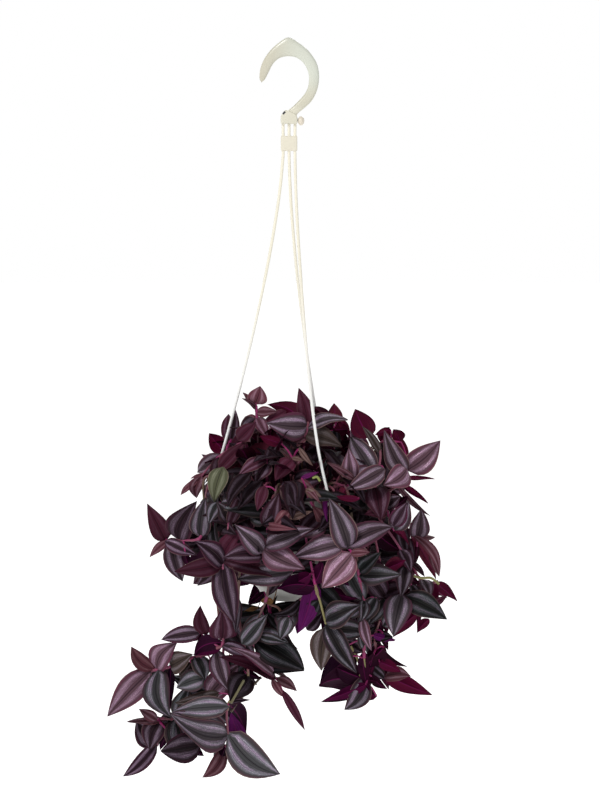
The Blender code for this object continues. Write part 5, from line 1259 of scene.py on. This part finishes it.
def skirt_course(k):
    """From the soil over the rim and down along the bowl."""
    out, _ = outward(2 * math.pi * (k + 0.35 * wobble(k, 51)) / SKIRT_STEMS)
    lift = 5 + 4 * wobble(k, 52)
    drop = 96 + 14 * wobble(k, 53) - 26 * max(0.0, -out[1])
    return catmull([out * far + RISE * high for far, high in (
        (52, SOIL_TOP - 2), (60, RIM_TOP + lift), (75, RIM_TOP + lift + 1), (82, RIM_TOP - 16),
        (82 + 3 * wobble(k, 54), RIM_TOP - 0.5 * drop),
        (72 + 5 * wobble(k, 55), RIM_TOP - drop))], 4)


def mound_course(k):
    """From the soil up and out to a point of the mound's dome, the points
    turning by the golden angle."""
    out, _ = outward(GOLDEN_ANGLE * k)
    high = 1 - (k + 0.5) / MOUND_STEMS
    end = MOUND_CENTRE + MOUND_SIZE * (out * math.sqrt(1 - high ** 2) + RISE * high)
    root = np.array([0.45 * end[0], 0.45 * end[1], SOIL_TOP - 2])
    return catmull([root, (root + end) / 2 + [0, 0, 12.0], end], 7)


def side_leaves(course, out_share, key, start):
    """Leaves alternate along a course, each out to one side of it, or hanging
    close to it where a spread one would leave the outline."""
    found = []
    for n, place in enumerate(range(start, len(course), 3)):
        base = course[place]
        ahead = unit(course[min(place + 1, len(course) - 1)] - course[place - 1])
        out = unit(base - MOUND_CENTRE + [0, 0, 30.0])
        side = unit(np.cross(ahead, out)) * (1 if n % 2 else -1)
        seed = key + 0.43 * n
        length = FILL_LENGTH + 9 * wobble(seed, 64)
        face = out + np.array([0, 0, 0.5]) + 0.5 * side * wobble(seed, 65)
        for squeeze in SQUEEZES:
            way = (side * (0.85 + 0.25 * wobble(seed, 61))
                   + ahead * (0.35 + 0.35 * wobble(seed, 63))
                   + out * (out_share + 0.25 * wobble(seed, 62)) * squeeze)
            way[0] *= squeeze
            leaf = aimed_leaf(base, way, face, length * (0.7 + 0.3 * squeeze),
                              length * (0.23 + 0.03 * wobble(seed, 66)))
            if fits(leaf):
                found.append((leaf, seed))
                break
    return found


def collar_leaves():
    """Leaves that lean out over the rim all round, and their stems from the
    soil's edge."""
    found, courses = [], []
    for k in range(COLLAR_LEAVES):
        out, side = outward(2 * math.pi * (k + 0.4 * wobble(k, 71)) / COLLAR_LEAVES)
        base = out * (75 + 4 * wobble(k, 72)) + [0, 0, RIM_TOP + 23 + 4 * wobble(k, 73)]
        way = out * 0.75 + side * 0.5 * wobble(k, 74) + RISE * (-0.7 + 0.3 * wobble(k, 75))
        length = FILL_LENGTH + 7 * wobble(k, 76)
        leaf = aimed_leaf(base, way, out + [0, 0, 0.8], length, length * FILL_SLIM)
        if fits(leaf):
            found.append((leaf, 500 + 1.7 * k))
            courses.append(catmull([out * 56 + [0, 0, SOIL_TOP - 2], out * 66 + [0, 0, RIM_TOP + 8],
                                    base + unit(way)], 4))
    return found, courses


def inner_leaves(course, key):
    """Leaves behind those of a trailing stem: at points along it, the first of
    a few turns round the stem at which the leaf stays in the outline."""
    found = []
    course = catmull(course, 3)
    below = [k for k in range(len(course)) if course[k][2] < RIM_TOP - 60]
    for n, place in enumerate(below[::4]):
        base = course[place]
        ahead = unit(course[place] - course[place - 1])
        side = unit(np.cross(ahead, [0.0, 1.0, 0.0]))
        seed = key + 0.57 * n
        for trial in range(LEAF_TRIALS):
            a = math.pi * wobble(seed, 81 + trial)
            way = side * math.cos(a) + ahead * (0.5 + 0.3 * math.sin(a)) + np.array([0, 0.5, -0.2])
            face = np.array([0.3 * wobble(seed, 91), -1.0 if n % 2 else 1.0, 0.5])
            length = 40 - trial + 6 * wobble(seed, 92 + trial)
            leaf = aimed_leaf(base + [0, 2.0, 0], way, face, length, length * FILL_SLIM)
            if fits(leaf):
                found.append((leaf, seed))
                break
    return found


# Single leaves seen from the front: base and tip (x, drop, y), width, look,
# and for some how far (x, drop) the middle moves. Looks u, x and k turn their
# underside to the front
FRONT_LEAVES = [
    ((64, 497, -98), (32.6, 532.4, -101), 31, "p"), ((62, 497, -100), (81, 496, -106), 9, "n"),
    ((96, 413, -60), (57, 433.5, -74), 22, "v"),
    ((118, 413, -50), (94.4, 429, -62), 26, "m", (3, 4)), ((118, 402, 4), (103, 374, 2), 14, "u"),
    ((88, 478, -40), (112, 495, -40), 18, "k"), ((118, 480, -26), (126, 510, -26), 13, "d"),
    ((66, 424, -68), (38.5, 407, -72), 8, "n"), ((70.5, 442.6, -86), (45.5, 440.4, -90), 7, "u"),
    ((17, 433, -86), (35.3, 445, -93), 10, "c"), ((0, 462, -98), (23, 455, -100), 8, "c"),
    ((12, 422, -88), (30, 416, -90), 5, "x"), ((37, 438, -90), (38, 466, -100), 5, "x"),
    ((-65.5, 411, -60), (-75.3, 446, -70), 21, "o"), ((-68, 447, -76), (-50, 452, -84), 14, "g"),
    ((-70, 446, -76), (-80, 468, -80), 16, "g"), ((-124, 485, -28), (-92, 499, -36), 16, "s"),
    ((-76.4, 515, -60), (-96, 528, -62), 18, "d"), ((4, 516, -88), (-53, 523, -84), 25, "v"),
    ((-50, 543, -72), (-53, 578, -74), 12, "d"), ((-24, 536, -46), (-41, 549, -48), 9, "k"),
    ((31, 533, -68), (69, 543, -70), 14, "u"), ((22, 518, -92), (-12, 533, -92), 16, "u"),
    ((73.4, 561.6, -74), (82.5, 595, -74), 12, "m"), ((140, 563, -30), (128, 576.7, -30), 10, "u"),
    ((-7, 634, -62), (16, 674.6, -62), 9.5, "w", (1.5, 0.5)),
    ((-17, 623, -62), (-4, 642, -62), 8, "n"), ((-18, 557, -54), (3, 547, -56), 14, "e"),
    ((-8, 573, -60), (-24, 556, -60), 13, "e"), ((78, 628, -66), (33, 645, -66), 12, "u", (2, 2)),
    ((-84, 622, -44), (-113, 632, -42), 24, "g"), ((-132, 664, -30), (-150, 653, -32), 12, "n"),
    ((-12, 622, -64), (8, 635, -70), 12, "n"), ((-47, 588, -72), (-22, 558, -78), 22, "g"),
    ((0, 561, -74), (-9, 584, -80), 18, "g"), ((-30, 580, -78), (-3, 587, -84), 12, "g"),
    ((-44, 690, -38), (-58, 656, -36), 18, "x", (-2, 2)),
    ((-131, 690, -14), (-152, 663, -14), 26, "d", (-3, 0)),
    ((-60, 651, -54), (-117, 656, -56), 24, "t"), ((-88, 577, -52), (-128.7, 583.5, -46), 19, "s"),
    ((-86, 580, -50), (-118, 576, -46), 15, "w"), ((-78, 604, -36), (-94, 622, -40), 12, "n"),
    ((-69, 637, -42), (-115, 647, -40), 15, "b"), ((-67, 590, -48), (-96, 599, -50), 13, "u"),
    ((-88, 689, -40), (-129, 695, -40), 32, "d", (0, 2)),
    ((-92, 684, -30), (-62, 692, -32), 18, "d"), ((-51, 384, -26), (-33, 366, -30), 18, "w"),
    ((-7, 388, -44), (-30, 380, -50), 11, "u"), ((-70, 413, -24), (-43, 385, -26), 16, "w"),
    ((10, 392, -58), (24, 410, -64), 6, "c"), ((3, 402, -58), (15, 405, -64), 5, "c"),
    ((96, 513, -70), (117, 504, -72), 10, "u"), ((85, 597, -60), (80, 637, -56), 11, "k"),
    ((60, 600, -56), (31, 628, -56), 27, "k"), ((96, 590, -58), (72, 612, -58), 20, "k"),
    ((84, 579, -64), (107, 584, -62), 8, "x"), ((18, 574, -60), (34, 556, -58), 16, "d"),
    ((-38, 611, -58), (16, 615, -62), 16, "e"), ((-98, 606, -34), (-110, 621, -34), 12, "b"),
    ((128, 557, -44), (104, 581, -46), 13, "u"), ((48, 612, -60), (88, 626, -60), 22, "k"),
    ((142, 489, -34), (150, 521, -30), 9, "n"), ((88, 541, -64), (68, 569, -68), 18, "g"),
    ((94, 570, -60), (112, 556, -62), 17, "g"), ((60, 560, -70), (76, 548, -74), 13, "g"),
    ((84, 600, -58), (74, 628, -58), 14, "u"), ((90, 606, -58), (112, 616, -58), 13, "u"),
    ((88, 640, -54), (64, 636, -52), 13, "u"), ((122, 528, -50), (134, 548, -48), 13, "d"),
    ((-24, 430, -92), (-32, 455, -100), 13, "w"), ((0, 455, -96), (-16, 472, -102), 12, "n"),
    ((104, 470, -70), (118, 446, -72), 18, "s"), ((-118, 610, -36), (-119, 654, -34), 10, "k"),
    ((-104, 496, -36), (-100, 511, -36), 9, "k"), ((-3, 355, -14), (-27, 367, -16), 10, "w"),
    ((50, 363, -8), (61, 382, -8), 9, "u"), ((128, 490, -30), (126, 509, -30), 7, "k"),
    ((122, 506, -40), (136, 521, -38), 7, "d"), ((106, 452, -46), (119, 440, -46), 11, "k"),
    ((16, 556, -60), (8, 578, -60), 15, "x"), ((34, 547, -60), (33, 575, -60), 9, "k"),
    ((94, 577, -58), (99, 594, -58), 8, "k"), ((-48, 613, -40), (-27, 623, -40), 9, "k"),
    ((82, 620, -56), (98, 633, -56), 10, "k"), ((-121, 678, -30), (-129, 694, -30), 9, "k"),
    ((-98, 690, -30), (-85, 700, -30), 10, "k"), ((60, 588, -54), (67, 612, -54), 14, "k"),
    ((88, 556, -52), (93, 579, -52), 12, "k"), ((144, 549, -38), (158, 540, -38), 8, "w"),
    ((102, 374, 2), (86, 379, 2), 9, "u"), ((118, 520, -36), (131, 528, -36), 10, "k"),
    ((113, 541, -42), (124, 532, -42), 9, "k"), ((97, 473, -40), (107, 482, -40), 9, "k"),
    ((99, 447, -40), (108, 462, -40), 9, "k"), ((28, 365, -16), (46, 374, -16), 9, "k"),
    ((29, 384, -20), (46, 394, -20), 9, "k"), ((-18, 551, -50), (11, 545, -50), 8, "k"),
    ((-29, 553, -42), (-15, 549, -44), 7, "k"), ((-27, 559, -46), (-18, 572, -46), 10, "k"),
    ((51, 541, -58), (67, 549, -58), 9, "k"), ((20, 405, -40), (31, 417, -40), 9, "k"),
]
# Bare thin stems seen from the front: points (x, drop, y), green, pink
FRONT_STEMS = [
    ([(-21, 548, -58), (-12, 551, -62), (-5, 557, -66), (4, 549, -64), (16, 540, -62)], 0.5, 0.35),
    ([(-131, 664, -24), (-124, 672, -28), (-116, 686, -30)], 0.2, 1.0),
    ([(-28, 621, -34), (-38, 632, -34), (-51, 646, -36), (-58, 656, -40)], 0.1, 0.0),
    ([(-45, 624, -66), (-51, 635, -64), (-58, 647, -60)], 0.3, 0.0),
    ([(24, 422, -90), (28, 421, -92), (31, 425, -92)], 1.0, 0.0),
    ([(122, 519, -48), (132, 522, -46), (142, 522, -44), (150, 528, -42)], 0.9, 0.1),
    ([(62, 590, -56), (68, 602, -56), (72, 616, -56), (66, 628, -56)], 0.7, 0.1),
]
# Dead leaves that hang by the pot's foot: base and tip (x, drop, y), width
DEAD_LEAVES = [
    ((-16, 546, -62), (-29, 545, -62), 8.0),
    ((-31, 552, -34), (-45, 555, -36), 5.0),
    ((-60, 600, -40), (-66, 611, -42), 5.0),
]
STALK_REACH = 26                       # a stem this near carries a single leaf
FILL_SHADE = 0.22                      # light of a filling leaf at the front: painted shade, as others lie before it
FILL_PARTS = 4                         # pieces over which the filling stems are dealt out


def placed_leaf(start, end, width, face):
    """A leaf between two places of the front view, and its base and tip."""
    base, tip = seen(start), seen(end)
    return aimed_leaf(base, tip - base, face, np.linalg.norm(tip - base), width / 2), base, tip


def build_dead_leaves():
    """Dry crumpled leaves, each on a thread of stem from above."""
    skins = []
    for k, (start, end, width) in enumerate(DEAD_LEAVES):
        leaf, base, tip = placed_leaf(start, end, width, np.array([0.2, -1.0, 0.5]))
        skins.append(leaf_skin(leaf, (0,) * 8, 950 + k, wave=4.0))
        thread = catmull([base + [4, 8, 14], base + [2, 3, 5], base + (tip - base) * 0.05], 4)
        skins.append(tube(thread, 0.5, 6))
    piece("foliage_dead", skins, [DEAD_LEAF, DEAD_LEAF], sharp=60.0)


def build_front(stems):
    """The single leaves, each on a short stalk where a stem is near, and the
    bare stems."""
    skins = []
    for k, (start, end, width, look, *moved) in enumerate(FRONT_LEAVES):
        seed = 900 + 1.9 * k
        face = np.array([0.25 * wobble(seed, 1), -1.0, 0.35]) * (-1 if look in "uxk" else 1)
        leaf, base, tip = placed_leaf(start, end, width, face)
        skins.append(leaf_skin(leaf, tone_of(leaf, look, seed), seed,
                               moved=moved[0] if moved else (0.0, 0.0)))
        near = stems[np.linalg.norm(stems - base, axis=1).argmin()]
        if np.linalg.norm(near - base) < STALK_REACH:
            stalk = catmull([near, (near + base) / 2 + [0, 0, 1.5], base + (tip - base) * 0.03], 3)
            skins.append(tube(stalk, 0.9, 6, tone=stem_tone(0.2, 0.9, 0.5), paint=STEM_PAINT))
    for points, green, pink in FRONT_STEMS:
        course = catmull([seen(place) for place in points], 5)
        skins.append(tube(course, STEM_TIP_RADIUS, 8, tone=stem_tone(green, pink, 0.5),
                          paint=STEM_PAINT))
    foliage("foliage_front", skins)


def build_filling(name, leaves, courses=()):
    """Leaves with coarser grids, with painted shade that makes them darker
    where others lie before them, and the stems that carry them."""
    skins = []
    for leaf, seed in leaves:
        tone = np.array(tone_of(leaf, "ssdg"[int(2 + 2 * wobble(seed, 67))], seed))
        # Painted shade: darkest towards the front, where other leaves lie before them
        tone[2] *= FILL_SHADE + 0.4 * np.clip((leaf[0][1] + 20) / 50, 0, 1)
        skins.append(leaf_skin(leaf, tone, seed, rows=FILL_ROWS))
    for course in courses:
        share = np.linspace(0, 1, len(course))
        skins.append(tube(course, 1.4 - 0.5 * share, 7, tone=stem_tone(0.3, 0.5, 0.3),
                          paint=STEM_PAINT))
    foliage(name, skins)


# ----------------------------------------------------------------- scene
build_hook()
build_pin()
piece("hanger_clip", [block(CLIP, CLIP_BEVEL)], [CLIP_PLASTIC], ["strand_clip"],
      sharp=60.0)
for strand, slot in (("left", -1), ("back", 0), ("front", 1)):
    build_strand(strand, slot)
build_pot()
build_soil()
COURSES = stem_courses()
LEAVES = {shoot: leaves_of(shoot) for shoot in COURSES}
LOBES = FRONT_OUTLINE + [leaf_outline(leaf) for some in LEAVES.values() for leaf in some]
for count, (shoot, course) in enumerate(COURSES.items()):
    build_shoot(shoot, course, LEAVES[shoot], count)
for part in range(FILL_PARTS):
    for kind, course_of, stems, spread, key, start in (
            ("skirt", skirt_course, SKIRT_STEMS, 0.30, 300.0, 8),
            ("mound", mound_course, MOUND_STEMS, 0.55, 400.0, 6)):
        courses = [course_of(k) for k in range(part, stems, FILL_PARTS)]
        leaves = [found for k, course in enumerate(courses) for found in
                  side_leaves(course, spread, key + 3.1 * (FILL_PARTS * k + part), start)]
        build_filling("foliage_%s_%d" % (kind, part), leaves, courses)
build_filling("foliage_collar", *collar_leaves())
build_front(np.vstack([catmull(course, 4) for course in COURSES.values()]))
build_dead_leaves()
build_filling("foliage_inner", [found for k, course in enumerate(COURSES.values())
                                for found in inner_leaves(course, 600 + 7.3 * k)])


# ----------------------------------------------------------------- stage
def build_floor():
    """Plain pale floor, a disc well below the plant."""
    top, under, wide, hub = -1000.0, -1030.0, 9000.0, 0.4
    skin = Skin(turned_rings([(hub, under), (wide, under), (wide, top), (hub, top)], 64))
    mesh = bpy.data.meshes.new("floor")
    mesh.from_pydata(skin.points * MM, [], [tuple(face) for face in [*skin.quads, *skin.caps]])
    pale = Paint("pale_floor", 0.9, Emission_Color=(1, 1, 1), Emission_Strength=0.75)
    pale.base((0.75, 0.75, 0.75))
    mesh.materials.append(pale.material)
    linked("floor", mesh)


LIT_POINT = (0, 0, -0.5)


def build_light(name, place, size, power):
    """Round lamp at a place in metres, turned to the plant's middle."""
    data = bpy.data.lights.new(name, "AREA")
    data.shape = "DISK"
    data.size = size
    data.energy = power
    lamp = linked(name, data)
    way = np.array(LIT_POINT) - np.array(place)
    lamp.location = place
    yaw, pitch = math.atan2(way[0], way[1]), math.atan2(way[2], math.hypot(way[0], way[1]))
    lamp.rotation_euler = (math.pi / 2 + pitch, 0, -yaw)


build_floor()
build_light("key", (-0.9, -1.5, 1.5), 0.7, 34)
build_light("rim", (0.5, 1.6, 1.2), 1.0, 12)

# Studio: white round the plant, dimmer overhead
world = bpy.data.worlds.new("studio")
world.use_nodes = True
nodes, links = world.node_tree.nodes, world.node_tree.links
height = nodes.new("ShaderNodeSeparateXYZ")
links.new(nodes.new("ShaderNodeTexCoord").outputs["Generated"], height.inputs[0])
dim = nodes.new("ShaderNodeMapRange")
for end, value in (("From Min", 0.14), ("From Max", 0.5), ("To Min", 1.0), ("To Max", 0.35)):
    dim.inputs[end].default_value = value
links.new(height.outputs["Z"], dim.inputs["Value"])
links.new(dim.outputs["Result"], nodes["Background"].inputs["Strength"])
nodes["Background"].inputs["Color"].default_value = (1, 1, 1, 1)
bpy.context.scene.world = world
bpy.context.scene.view_settings.view_transform = "Standard"

camera = linked("camera", bpy.data.cameras.new("camera"))
camera.location = EYE * MM
camera.rotation_euler = (math.pi / 2 - VIEW_PITCH, 0, 0)
camera.data.sensor_width = SENSOR
camera.data.lens = VIEW_TRUE * SENSOR / IMAGE_TALL
camera.data.clip_start, camera.data.clip_end = 0.1, 50
bpy.context.scene.camera = camera
